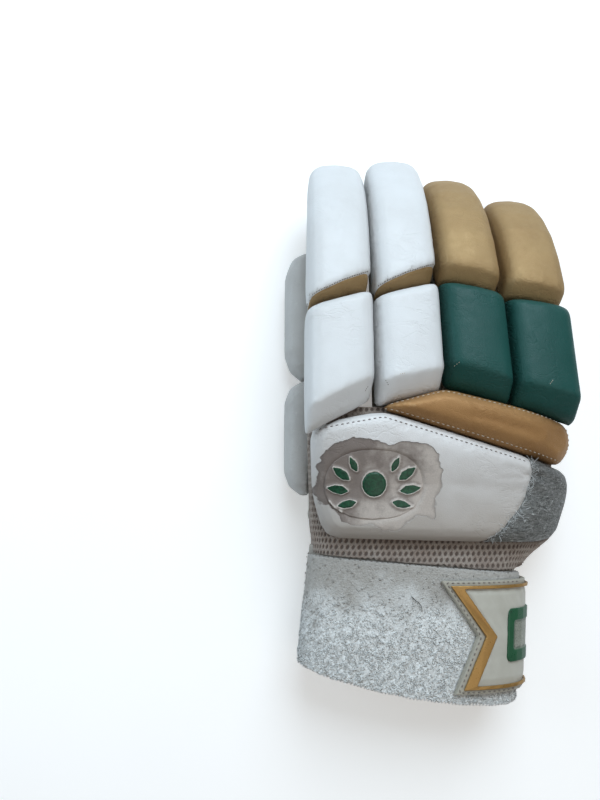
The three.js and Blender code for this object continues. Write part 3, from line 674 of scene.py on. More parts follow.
@dataclass(frozen=True)
class Bare:
    """The cloth under the leather's coating: grey-brown where it is dirty, beige where it is pressed smooth."""

    dark: Colour = (0.25, 0.205, 0.18)
    pale: Colour = (0.56, 0.49, 0.435)
    rim: Colour = (0.08, 0.062, 0.055)

    def colour(self, recipe: Recipe, weave: bpy.types.NodeSocket) -> bpy.types.NodeSocket:
        """Its colour.

        Args:
            recipe: The material's nodes.
            weave: The height of its weave.

        Returns:
            The colour.
        """
        parts = recipe.add("ShaderNodeSeparateXYZ")
        recipe.join(recipe.mapped(1.0, (-26.0 * MM, -36.0 * MM, 0.0)), parts.inputs[0])
        slope = recipe.sum("SUBTRACT", parts.outputs[0], recipe.sum("MULTIPLY", parts.outputs[1], 0.9))
        cloudy = recipe.noise(recipe.mapped(8.0), 3, 0.6)
        share = recipe.sum("MULTIPLY_ADD", recipe.sum("SUBTRACT", cloudy, 0.5), 2.2, recipe.span(slope, -22.0, 26.0, -0.1, 1.1))
        colour = recipe.blend(recipe.span(share, 0.1, 0.9), self.dark, self.pale)
        return recipe.blend(recipe.span(weave, 0.35, 0.7, 0.0, 0.25), colour, self.rim)


BARE = Bare()


@dataclass(frozen=True)
class WornPad(Leather):
    """The back pad's leather, whose coating has peeled off round the badge.

    Attributes:
        middle: The worn area's middle.
        reach: Its half sizes.
        wristward_shade: Its colour towards the wrist, where it is painted darker as shade.
    """

    middle: Colour = (-24.0 * MM, -36.0 * MM, 0.0)
    reach: tuple[float, float] = (29.0, 19.0)
    wristward_shade: Colour = (0.41, 0.36, 0.315)

    def border(self, recipe: Recipe) -> bpy.types.NodeSocket:
        """1 at the worn area's edge, less inside it and more outside, ragged."""
        spot = recipe.mapped((self.reach[0], self.reach[1], 4000.0), self.middle)
        length = recipe.add("ShaderNodeVectorMath", operation="LENGTH")
        recipe.join(spot, length.inputs[0])
        wide = recipe.noise(recipe.mapped((15.0, 12.0, 60.0)), 2, 0.5, 0.4)
        ragged = recipe.noise(recipe.mapped((3.2, 3.2, 40.0)), 4, 0.55, 0.3)
        border = recipe.sum("MULTIPLY_ADD", recipe.sum("SUBTRACT", wide, 0.5), 0.7, length.outputs["Value"])
        return recipe.sum("MULTIPLY_ADD", recipe.sum("SUBTRACT", ragged, 0.5), 0.09, border)

    def wristward_shaded_colour(self, recipe: Recipe) -> bpy.types.NodeSocket:
        """The coating's colour, greyer towards the wrist with painted shade."""
        parts = recipe.add("ShaderNodeSeparateXYZ")
        recipe.join(recipe.mapped(1.0, (0.0, -40.0 * MM, 0.0)), parts.inputs[0])
        cloudy = recipe.noise(recipe.mapped(17.0), 3, 0.6)
        slope = recipe.sum("MULTIPLY_ADD", recipe.sum("SUBTRACT", cloudy, 0.5), 16.0, parts.outputs[1])
        # Painted shade: the coating turns greyer towards the wrist.
        return recipe.blend(recipe.span(slope, 26.0, -14.0, 0.0, 0.92), self.colour(recipe), self.wristward_shade)

    def material(self) -> bpy.types.Material:
        """Builds the material."""
        recipe = Recipe(self.name)
        border = self.border(recipe)
        kept = recipe.span(border, 0.985, 1.0)
        gone = recipe.sum("SUBTRACT", 1.0, kept)
        weave = recipe.noise(recipe.mapped(0.5), 4, 0.7)
        under = BARE.colour(recipe, weave)
        under = recipe.blend(recipe.span(border, 0.93, 0.99, 0.0, 0.35), under, BARE.rim)
        normal = recipe.relief(self.folds(recipe), 0.35 * self.creases)
        normal = recipe.relief(kept, 0.3, 1.0, normal)
        grain = recipe.sum("MULTIPLY_ADD", self.grain(recipe), kept, recipe.sum("MULTIPLY", weave, gone))
        normal = recipe.relief(grain, self.depth, 0.9, normal)
        recipe.set(
            Base_Color=recipe.blend(gone, self.wristward_shaded_colour(recipe), under),
            Roughness=recipe.span(gone, 0.0, 1.0, self.rough, 0.8),
            Normal=normal,
        )
        return recipe.material


@dataclass(frozen=True)
class Embossed:
    """The badge: green on its raised parts, pale on their rolled rims, and bare between them."""

    name: str = "embossed_badge"
    slot: Slot = Slot.BADGE
    raised: Colour = (0.012, 0.1, 0.045)
    shade: Colour = (0.004, 0.035, 0.018)
    rolled: Colour = (0.66, 0.6, 0.54)

    def material(self) -> bpy.types.Material:
        """Builds the material."""
        recipe = Recipe(self.name)
        weave = recipe.noise(recipe.mapped(0.5), 4, 0.7)
        worn = recipe.noise(recipe.mapped(1.3), 4, 0.65)
        height = recipe.sum("MULTIPLY_ADD", recipe.sum("SUBTRACT", worn, 0.5), 0.22, recipe.read("raised"))
        field = recipe.blend(recipe.span(height, 0.12, 0.4), BARE.colour(recipe, weave), self.rolled)
        # Painted shade in the hollows round the raised parts.
        field = recipe.blend(recipe.sum("MULTIPLY", recipe.read("hollow_shade"), 0.75), field, BARE.dark)
        green = recipe.blend(recipe.span(worn, 0.35, 0.7), self.shade, self.raised)
        inside = recipe.span(height, 0.66, 0.72)
        recipe.set(
            Base_Color=recipe.blend(inside, field, green),
            Roughness=recipe.span(inside, 0.0, 1.0, 0.6, 0.32),
            Normal=recipe.relief(weave, 0.05, 0.8, recipe.relief(worn, 0.12)),
        )
        return recipe.material


@dataclass(frozen=True)
class Foil:
    """Silver foil on leather, crinkled, and rubbed through in places."""

    name: str = "crinkled_foil"
    slot: Slot = Slot.SILVER
    tone: Colour = (0.31, 0.31, 0.295)
    deep: Colour = (0.08, 0.08, 0.075)
    glint_highlight: Colour = (0.78, 0.79, 0.78)

    def material(self) -> bpy.types.Material:
        """Silver foil on leather, crinkled, with painted shade in its crinkles' troughs and painted glints on their
        crests.
        """
        recipe = Recipe(self.name)
        crinkle = recipe.noise(recipe.mapped((3.4, 0.75, 1.6), turn=(0, 0, 62)), 5, 0.7, 1.0)
        folds = recipe.noise(recipe.mapped(4.0), 3, 0.6, 0.8)
        threads = recipe.cells(recipe.mapped((0.45, 1.5, 0.8), turn=(0, 0, 28)))
        # Painted shade: darker in the crinkles' troughs.
        colour = recipe.blend(recipe.span(crinkle, 0.36, 0.62), self.deep, self.tone)
        # Painted glints on the crinkles' crests.
        painted_glints = recipe.sum("MULTIPLY", recipe.span(crinkle, 0.6, 0.68), recipe.span(folds, 0.42, 0.6))
        colour = recipe.blend(painted_glints, colour, self.glint_highlight)
        # Painted shade where the foil meets its neighbours.
        colour = recipe.blend(recipe.sum("MULTIPLY", recipe.read("seam_grime_and_shade"), 0.6), colour, (0.07, 0.07, 0.068))
        rough = recipe.span(crinkle, 0.3, 0.7, 0.6, 0.42)
        normal = recipe.relief(folds, 0.6)
        normal = recipe.relief(crinkle, 0.45, 1.0, normal)
        normal = recipe.relief(threads, 0.2, 1.0, normal)
        recipe.set(Base_Color=colour, Metallic=0.55, Roughness=rough, Normal=normal)
        return recipe.material


@dataclass(frozen=True)
class Spacer:
    """Spacer mesh: a knitted face with staggered drop-shaped holes, whose depth is written on the piece and painted
    dark as their shade.
    """

    name: str = "knitted_spacer"
    slot: Slot = Slot.SPACER
    tone: Colour = (0.46, 0.375, 0.32)
    light: Colour = (0.57, 0.50, 0.44)
    deep: Colour = (0.14, 0.105, 0.085)

    def material(self) -> bpy.types.Material:
        """Builds the material."""
        recipe = Recipe(self.name)
        hole = recipe.read("hole")
        knit = recipe.cells(recipe.mapped((0.4, 0.6, 0.45)))
        worn = recipe.noise(recipe.mapped(7.0), 4, 0.6)
        face = recipe.blend(recipe.span(worn, 0.35, 0.7), self.tone, self.light)
        face = recipe.blend(recipe.span(knit, 0.2, 0.75, 0.0, 0.4), face, self.deep)
        # Painted shade in the holes.
        colour = recipe.blend(recipe.span(hole, 0.1, 0.75, 0.0, 0.9), face, self.deep)
        # Painted shade where the mesh meets its neighbours.
        colour = recipe.blend(recipe.sum("MULTIPLY", recipe.read("seam_grime_and_shade"), 0.55), colour, (0.07, 0.055, 0.048))
        recipe.set(Base_Color=colour, Roughness=0.82, Sheen_Weight=0.1, Normal=recipe.relief(knit, 0.14, 0.8))
        return recipe.material


@dataclass(frozen=True)
class Towelling:
    """Looped towelling: flat and taupe by the seam, white and matted towards the hem."""

    name: str = "looped_towelling"
    slot: Slot = Slot.TOWEL
    flat: Colour = (0.38, 0.355, 0.32)
    pile: Colour = (0.88, 0.895, 0.88)
    shade: Colour = (0.52, 0.50, 0.47)

    def material(self) -> bpy.types.Material:
        """Builds the material."""
        recipe = Recipe(self.name)
        cloudy = recipe.noise(recipe.mapped(13.0), 4, 0.6)
        clumps = recipe.noise(recipe.mapped(2.0), 4, 0.7)
        loops = recipe.cells(recipe.mapped(0.8))
        reach = recipe.sum("MULTIPLY_ADD", recipe.sum("SUBTRACT", cloudy, 0.5), 0.7, recipe.read("down"))
        colour = recipe.blend(recipe.span(reach, 0.12, 0.45), self.flat, self.pile)
        colour = recipe.blend(recipe.span(clumps, 0.60, 0.36, 0.0, 0.5), colour, self.shade)
        colour = recipe.blend(recipe.span(loops, 0.35, 0.8, 0.0, 0.25), colour, self.shade)
        # Painted shade in the hollows of the towelling.
        colour = recipe.blend(recipe.sum("MULTIPLY", recipe.read("hollow_shade"), 0.5), colour, self.shade)
        # Painted shade where the towelling meets its neighbours.
        colour = recipe.blend(recipe.sum("MULTIPLY", recipe.read("seam_grime_and_shade"), 0.35), colour, self.shade)
        normal = recipe.relief(clumps, 0.5)
        normal = recipe.relief(loops, 0.3, 0.9, normal)
        recipe.set(Base_Color=colour, Roughness=0.95, Sheen_Weight=0.3, Sheen_Roughness=0.6, Normal=normal)
        return recipe.material


@dataclass(frozen=True)
class Moulded:
    """A smooth moulded or coated surface, slightly uneven, with dust and painted shade in its corners.

    Attributes:
        name: The material's name.
        slot: The record's slot.
        tone: Its colour.
        deep: Its colour in corners, for dust and painted shade.
        rough: Its roughness.
        metal: How metallic it is.
        dust_and_shade: How dark its corners are, with dust and painted shade.
        second: Another colour, where the attribute "second" is 1.
    """

    name: str
    slot: Slot
    tone: Colour
    deep: Colour
    rough: float = 0.35
    metal: float = 0.0
    dust_and_shade: float = 0.4
    second: Colour | None = None

    def material(self) -> bpy.types.Material:
        """Builds the material."""
        recipe = Recipe(self.name)
        cloudy = recipe.noise(recipe.mapped(8.0), 4, 0.6)
        fine = recipe.noise(recipe.mapped(0.8), 4, 0.6)
        colour = self.tone
        if self.second:
            ribs = recipe.cells(recipe.mapped((0.5, 0.5, 0.5)))
            cloth = recipe.blend(recipe.span(ribs, 0.2, 0.8, 0.0, 0.5), self.second, self.deep)
            colour = recipe.blend(recipe.read("second"), colour, cloth)
        colour = recipe.blend(recipe.span(cloudy, 0.35, 0.7, 0.0, 0.35), colour, self.deep)
        # Dust and painted shade in the hollows and where the piece meets its neighbours.
        colour = recipe.blend(recipe.sum("MULTIPLY", recipe.read("hollow_shade"), self.dust_and_shade), colour, self.deep)
        colour = recipe.blend(recipe.sum("MULTIPLY", recipe.read("seam_grime_and_shade"), self.dust_and_shade), colour, self.deep)
        normal = recipe.relief(recipe.sum("MULTIPLY_ADD", fine, 0.3, cloudy), 0.12)
        recipe.set(
            Base_Color=colour,
            Roughness=recipe.span(fine, 0.3, 0.7, self.rough - 0.05, self.rough + 0.12),
            Metallic=self.metal,
            Normal=normal,
        )
        return recipe.material


@dataclass(frozen=True)
class Thread:
    """Twisted sewing thread."""

    name: str
    slot: Slot
    tone: Colour
    deep: Colour

    def material(self) -> bpy.types.Material:
        """Builds the material."""
        recipe = Recipe(self.name)
        twist = recipe.noise(recipe.mapped(0.3), 2, 0.6, 1.0)
        colour = recipe.blend(recipe.span(twist, 0.35, 0.65), self.deep, self.tone)
        recipe.set(Base_Color=colour, Roughness=0.75, Normal=recipe.relief(twist, 0.08))
        return recipe.material


class Finishes:
    """Every finish of the glove, each built once."""

    white = Leather(
        "white_grained_leather", Slot.WHITE, (0.80, 0.805, 0.805), (0.62, 0.60, 0.575), (0.86, 0.86, 0.85),
        pebble=0.75, depth=0.03, rough=0.42, soil_and_shade=0.5,
    )
    # The white leather painted darker with the shade that falls on the thumb's side.
    thumb = Leather(
        "thumb_shaded_leather", Slot.WHITE, (0.60, 0.59, 0.57), (0.38, 0.365, 0.34), (0.72, 0.71, 0.69),
        pebble=0.75, depth=0.03, rough=0.45, soil_and_shade=0.7,
    )
    gold = Leather(
        "gold_metallic_leather", Slot.GOLD, (0.47, 0.315, 0.145), (0.28, 0.155, 0.06), (0.60, 0.45, 0.26),
        dirt_and_shade=(0.06, 0.03, 0.013), pebble=0.55, depth=0.08, rough=0.56, metal=0.4, soil_and_shade=0.8, scuffed=0.3,
    )
    # The gold leather with the knuckle roll's warmer light and shade painted in: more orange and darker.
    warm_lit_gold = Leather(
        "warm_lit_gold_leather", Slot.GOLD, (0.47, 0.255, 0.097), (0.27, 0.125, 0.04), (0.58, 0.39, 0.2),
        dirt_and_shade=(0.06, 0.03, 0.013), pebble=0.55, depth=0.08, rough=0.5, metal=0.4, soil_and_shade=0.8, scuffed=0.3,
    )
    green = Leather(
        "green_grained_leather", Slot.GREEN, (0.012, 0.08, 0.068), (0.006, 0.045, 0.038), (0.04, 0.15, 0.14),
        dirt_and_shade=(0.004, 0.02, 0.017), pebble=0.8, depth=0.05, rough=0.46, soil_and_shade=0.7, scuffed=0.25, shine=0.3,
    )
    pad = WornPad(
        "cream_pad_leather", Slot.CREAM, (0.82, 0.805, 0.795), (0.62, 0.575, 0.535), (0.85, 0.84, 0.82),
        pebble=0.7, depth=0.045, rough=0.42, soil_and_shade=0.4,
    )
    palm = Leather(
        "soft_palm_leather", Slot.PALM, (0.60, 0.56, 0.50), (0.42, 0.375, 0.32), (0.70, 0.66, 0.6),
        pebble=0.9, depth=0.05, creases=1.2, rough=0.62, soil_and_shade=0.6,
    )
    badge = Embossed()
    foil = Foil()
    spacer = Spacer()
    towel = Towelling()
    strap = Moulded("coated_strap", Slot.STRAP, (0.58, 0.56, 0.49), (0.40, 0.375, 0.31), 0.36, second=(0.43, 0.40, 0.33))
    trim = Moulded("moulded_gold", Slot.TRIM, (0.62, 0.37, 0.12), (0.26, 0.13, 0.035), 0.3, 0.5, 0.8)
    tab = Moulded(
        "moulded_green", Slot.BADGE, (0.02, 0.115, 0.05), (0.006, 0.045, 0.02), 0.3, 0.0, 0.6, second=(0.5, 0.49, 0.42)
    )
    # Thread painted dark for the shade in its stitch holes.
    hole_shade_thread = Thread("hole_shade_thread", Slot.CREAM, (0.30, 0.255, 0.23), (0.12, 0.1, 0.088))
    brown_thread = Thread("brown_thread", Slot.GOLD, (0.15, 0.085, 0.045), (0.05, 0.03, 0.018))
    pale_thread = Thread("pale_thread", Slot.CREAM, (0.70, 0.62, 0.51), (0.46, 0.38, 0.29))
    white_fibre = Thread("white_fibre", Slot.TOWEL, (0.84, 0.85, 0.85), (0.6, 0.6, 0.58))
    black_fibre = Thread("black_fibre", Slot.TOWEL, (0.05, 0.045, 0.04), (0.02, 0.018, 0.016))

    def __init__(self) -> None:
        """Starts with no material built."""
        self.built: dict[str, bpy.types.Material] = {}

    def give(self, piece: bpy.types.Object, finish: object) -> None:
        """Gives a piece its finish.

        Args:
            piece: The piece.
            finish: One of this class's finishes.
        """
        if finish.name not in self.built:
            self.built[finish.name] = finish.material()
        piece.data.materials.clear()
        piece.data.materials.append(self.built[finish.name])


# ---------------------------------------------------------------- the parts of the glove


@dataclass
class SubAssembly:
    """Pieces that are made together.

    Attributes:
        finishes: The finishes they share.
    """

    finishes: Finishes

    def settle(self, piece: bpy.types.Object, finish: object, nodes: Sequence[str] = (), fill: float | None = None) -> bpy.types.Object:
        """Finishes a piece: its smooth shading, its finish, and what it rides on and stands for.

        Args:
            piece: The piece.
            finish: Its finish.
            nodes: The CAD nodes that it stands for.
            fill: How full its stuffing is, for a padded piece; not used.

        Returns:
            The piece.
        """
        pick(piece)
        bpy.ops.object.shade_smooth()
        self.finishes.give(piece, finish)
        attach(piece, "root")
        if nodes:
            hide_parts(*nodes)
        log.info("%s: %d points", piece.name, len(piece.data.vertices))
        return piece


@dataclass
class Stuffing:
    """Foam pressed into leather: small faces, swollen by air pressure in a cloth simulation.

    Attributes:
        voxel: Size of the faces that are simulated.
        smoothing: Rounds of smoothing before it.
        slack: How much smaller the shape starts.
        pressure: The pressure inside.
        swell: The farthest that a point may move.
        frames: Steps of the simulation.
        groove: Depth of a seam across a pad.
    """

    voxel: float = 1.3 * MM
    smoothing: int = 8
    slack: float = 0.25 * MM
    pressure: float = 4.0
    swell: float = 0.7 * MM
    frames: int = 20
    groove: float = 0.3 * MM

    def cut(self, name: str, *nodes: str) -> bpy.types.Object:
        """Makes the slightly smaller shape that is then stuffed.

        Args:
            name: The new piece's name.
            nodes: The CAD nodes.

        Returns:
            The new piece.
        """
        piece = remeshed(name, self.voxel, self.smoothing, *nodes)
        move_points(piece, points_of(piece) - normals_of(piece) * self.slack)
        return piece

    def fill(self, pieces: Sequence[bpy.types.Object]) -> None:
        """Stuffs the pieces side by side.

        Args:
            pieces: The pieces that were cut.
        """
        scene = bpy.context.scene
        before = [points_of(piece) for piece in pieces]
        for piece in pieces:
            cloth = piece.modifiers.new("Stuffing", "CLOTH")
            cloth.settings.use_pressure = True
            cloth.settings.uniform_pressure_force = self.pressure
            cloth.settings.effector_weights.gravity = 0
            cloth.settings.quality = 5
            cloth.collision_settings.use_collision = False
            cloth.point_cache.frame_end = self.frames
        for step in range(1, self.frames + 1):
            scene.frame_set(step)
        for piece, start in zip(pieces, before):
            pick(piece)
            bpy.ops.object.modifier_apply(modifier="Stuffing")
            move = points_of(piece) - start
            length = np.maximum(np.linalg.norm(move, axis=1, keepdims=True), 1e-9)
            move_points(piece, start + move / length * np.tanh(length / self.swell) * self.swell)
        scene.frame_set(1)

    def part(self, piece: bpy.types.Object, kept: str, taken: str, name: str) -> bpy.types.Object:
        """Sews a seam across a stuffed pad that stands for two CAD nodes, and takes one side of it apart.

        Args:
            piece: The pad.
            kept: The node of the side that stays.
            taken: The node of the side that becomes a new piece.
            name: The new piece's name.

        Returns:
            The new piece.
        """
        sides = [surface_of(frame["nodes"][node]) for node in (kept, taken)]
        far = np.array([[side.find_nearest(Vector(m))[3] for side in sides] for m in faces_of(piece)[0]])
        beyond = far[:, 1] < far[:, 0]
        kinds: dict[tuple[int, int], set[bool]] = {}
        for face, kind in zip(piece.data.polygons, beyond):
            for key in face.edge_keys:
                kinds.setdefault(key, set()).add(bool(kind))
        seam = np.array([key for key, both in kinds.items() if len(both) == 2])
        places, out = points_of(piece), normals_of(piece)
        for axis in range(3):
            places[:, axis] = spread(places[:, axis], seam, 14)
        dent = np.zeros(len(places))
        dent[seam.ravel()] = 1
        dent = np.clip(spread(dent, edges_of(piece), 1) * 1.6, 0, 1)
        move_points(piece, places - out * (dent * self.groove)[:, None])
        select_faces(piece, beyond)
        bpy.ops.mesh.separate(type="SELECTED")
        bpy.ops.object.mode_set(mode="OBJECT")
        other = next(found for found in bpy.context.selected_objects if found != piece)
        other.name = other.data.name = name
        return other

    def close(self, piece: bpy.types.Object) -> None:
        """Closes a piece's open side with a wall that the seam hides.

        Args:
            piece: The piece.
        """
        pick(piece)
        bpy.context.tool_settings.mesh_select_mode = (False, True, False)
        bpy.ops.object.mode_set(mode="EDIT")
        bpy.ops.mesh.select_all(action="DESELECT")
        bpy.ops.mesh.select_non_manifold(
            extend=False, use_wire=False, use_multi_face=False, use_non_contiguous=False, use_verts=False
        )
        bpy.ops.mesh.mark_sharp()
        bpy.ops.mesh.edge_face_add()
        bpy.ops.object.mode_set(mode="OBJECT")


@dataclass
class PaddedBlocks(SubAssembly):
    """The padded blocks on the fingers and the thumb.

    Attributes:
        stuffing: How they are stuffed.
        fullness: How full they look.
    """

    stuffing: Stuffing = field(default_factory=Stuffing)
    fullness: float = 0.7

    def rows(self) -> list[tuple[str, object]]:
        """The CAD nodes with their finishes."""
        f = self.finishes
        return [
            ("index_knuckle_block", f.white),
            ("middle_knuckle_block", f.white),
            ("ring_knuckle_block", f.green),
            ("little_knuckle_block", f.green),
            ("ring_tip_block", f.gold),
            ("little_tip_block", f.gold),
            ("thumb_base_block", f.thumb),
            ("thumb_tip_block", f.thumb),
            ("index_tip_block", f.white),
            ("middle_tip_block", f.white),
        ]

    def panel(self, node: str) -> str:
        """The end panel of a white fingertip block."""
        return node.replace("tip_block", "end_panel")

    def cut(self) -> list[bpy.types.Object]:
        """Cuts every block, ready to be stuffed, the white fingertip blocks with their end panels."""
        pieces = []
        for node, _ in self.rows():
            nodes = [n for n in (self.panel(node), node) if n in frame["nodes"]]
            pieces.append(self.stuffing.cut(node.replace("block", "pad"), *dict.fromkeys(nodes)))
        return pieces

    def finish(self, pieces: Sequence[bpy.types.Object]) -> None:
        """Dresses the stuffed blocks.

        Args:
            pieces: The blocks, in the order they were cut.
        """
        for piece, (node, finish) in zip(pieces, self.rows()):
            panel = self.panel(node)
            parts = [(piece, node, finish)]
            if panel != node and panel in frame["nodes"]:
                strip = self.stuffing.part(piece, node, panel, panel.replace("panel", "strip"))
                parts.append((strip, panel, self.finishes.gold))
            for part, own, look in parts:
                subdivided(part)
                dress(part, [node, panel])
                if len(parts) > 1:
                    self.stuffing.close(part)
                self.settle(part, look, [own], self.fullness)


@dataclass
class BackOfHand(SubAssembly):
    """The back pad with its silver corner and badge, and the knuckle roll.

    Attributes:
        stuffing: How the pads are stuffed.
        badge_voxel: Size of the badge's faces.
        emboss: How far the badge's raised parts are pushed out.
        widest: Half the width of its widest raised part, in cells.
        cell: The size of one of those cells.
    """

    stuffing: Stuffing = field(default_factory=lambda: Stuffing(voxel=1.1 * MM, smoothing=5, slack=-0.15 * MM))
    badge_voxel: float = 0.4 * MM
    emboss: float = 1.0 * MM
    widest: int = 13
    cell: float = 0.5 * MM

    def cut(self) -> list[bpy.types.Object]:
        """Cuts the pads, ready to be stuffed."""
        return [
            self.stuffing.cut("stuffed_roll", "knuckle_roll"),
            self.stuffing.cut("stuffed_back", "back_pad", "silver_corner"),
        ]

    def ground(self, x: np.ndarray, y: np.ndarray, height: np.ndarray, top: np.ndarray) -> np.ndarray:
        """The level of the badge's plate under its raised parts.

        Args:
            x: x of each point.
            y: y of each point.
            height: The height of each.
            top: True for the points of the upper side.

        Returns:
            The plate's height at each point.
        """
        row, column = (((v - v.min()) / self.cell).astype(int) + self.widest for v in (x, y))
        cells = np.full((row.max() + self.widest + 1, column.max() + self.widest + 1), np.inf)
        np.minimum.at(cells, (row[top], column[top]), height[top])
        reach = range(-self.widest, self.widest + 1)
        disc = [(i, j) for i in reach for j in reach if i * i + j * j <= self.widest**2]
        low = np.min([np.roll(cells, step, (0, 1)) for step in disc], axis=0)
        low[np.isinf(cells)] = -np.inf
        level = np.max([np.roll(low, step, (0, 1)) for step in disc], axis=0)
        return level[row, column]

    def make_badge(self) -> None:
        """Embosses the badge: each raised part gets a rolled rim."""
        badge = remeshed("embossed_badge", self.badge_voxel, 2, "badge")
        places, edges = points_of(badge), edges_of(badge)
        flat = normals_of(badge)[:, 2] > 0.6
        x, y = ((places - places.mean(0)) / (20 * MM)).T[:2]
        terms = np.column_stack([x**4, x**3, x * x, x * x * y, x, x * y, y * y, y, np.ones(len(x))])
        for _ in range(8):
            dome = np.linalg.lstsq(terms[flat], places[flat, 2], rcond=None)[0]
            above = places[:, 2] - terms @ dome
            flat &= above < max(0.12 * MM, np.quantile(above[flat], 0.85))
        above -= self.ground(places[:, 0], places[:, 1], above, normals_of(badge)[:, 2] > 0.5)
        raised = spread(np.where(above > 0.4 * MM, 1.0, 0.0), edges, 6)
        log.info("badge: %.2f of its points raised", (above > 0.4 * MM).mean())
        rim = np.exp(-(((raised - 0.35) / 0.25) ** 2)) * (above > -0.3 * MM)
        places[:, 2] += self.emboss * rim
        move_points(badge, places)
        modify(badge, "SMOOTH", factor=0.5, iterations=3)
        paint(badge, "raised", raised)
        dress(badge, ["badge", "back_pad"])
        self.settle(badge, self.finishes.badge, ["badge"])

    def finish(self, pieces: Sequence[bpy.types.Object]) -> None:
        """Dresses the stuffed pads and makes the badge.

        Args:
            pieces: The pads, in the order they were cut.
        """
        f = self.finishes
        roll, back = pieces
        subdivided(roll)
        dress(roll, ["knuckle_roll"])
        self.settle(roll, f.warm_lit_gold, ["knuckle_roll"], 0.6)
        corner = self.stuffing.part(back, "back_pad", "silver_corner", "stuffed_corner")
        for piece, node, finish in ((back, "back_pad", f.pad), (corner, "silver_corner", f.foil)):
            subdivided(piece)
            dress(piece, ["back_pad", "silver_corner", "badge"])
            self.stuffing.close(piece)
            self.settle(piece, finish, [node], 0.6)
        self.make_badge()


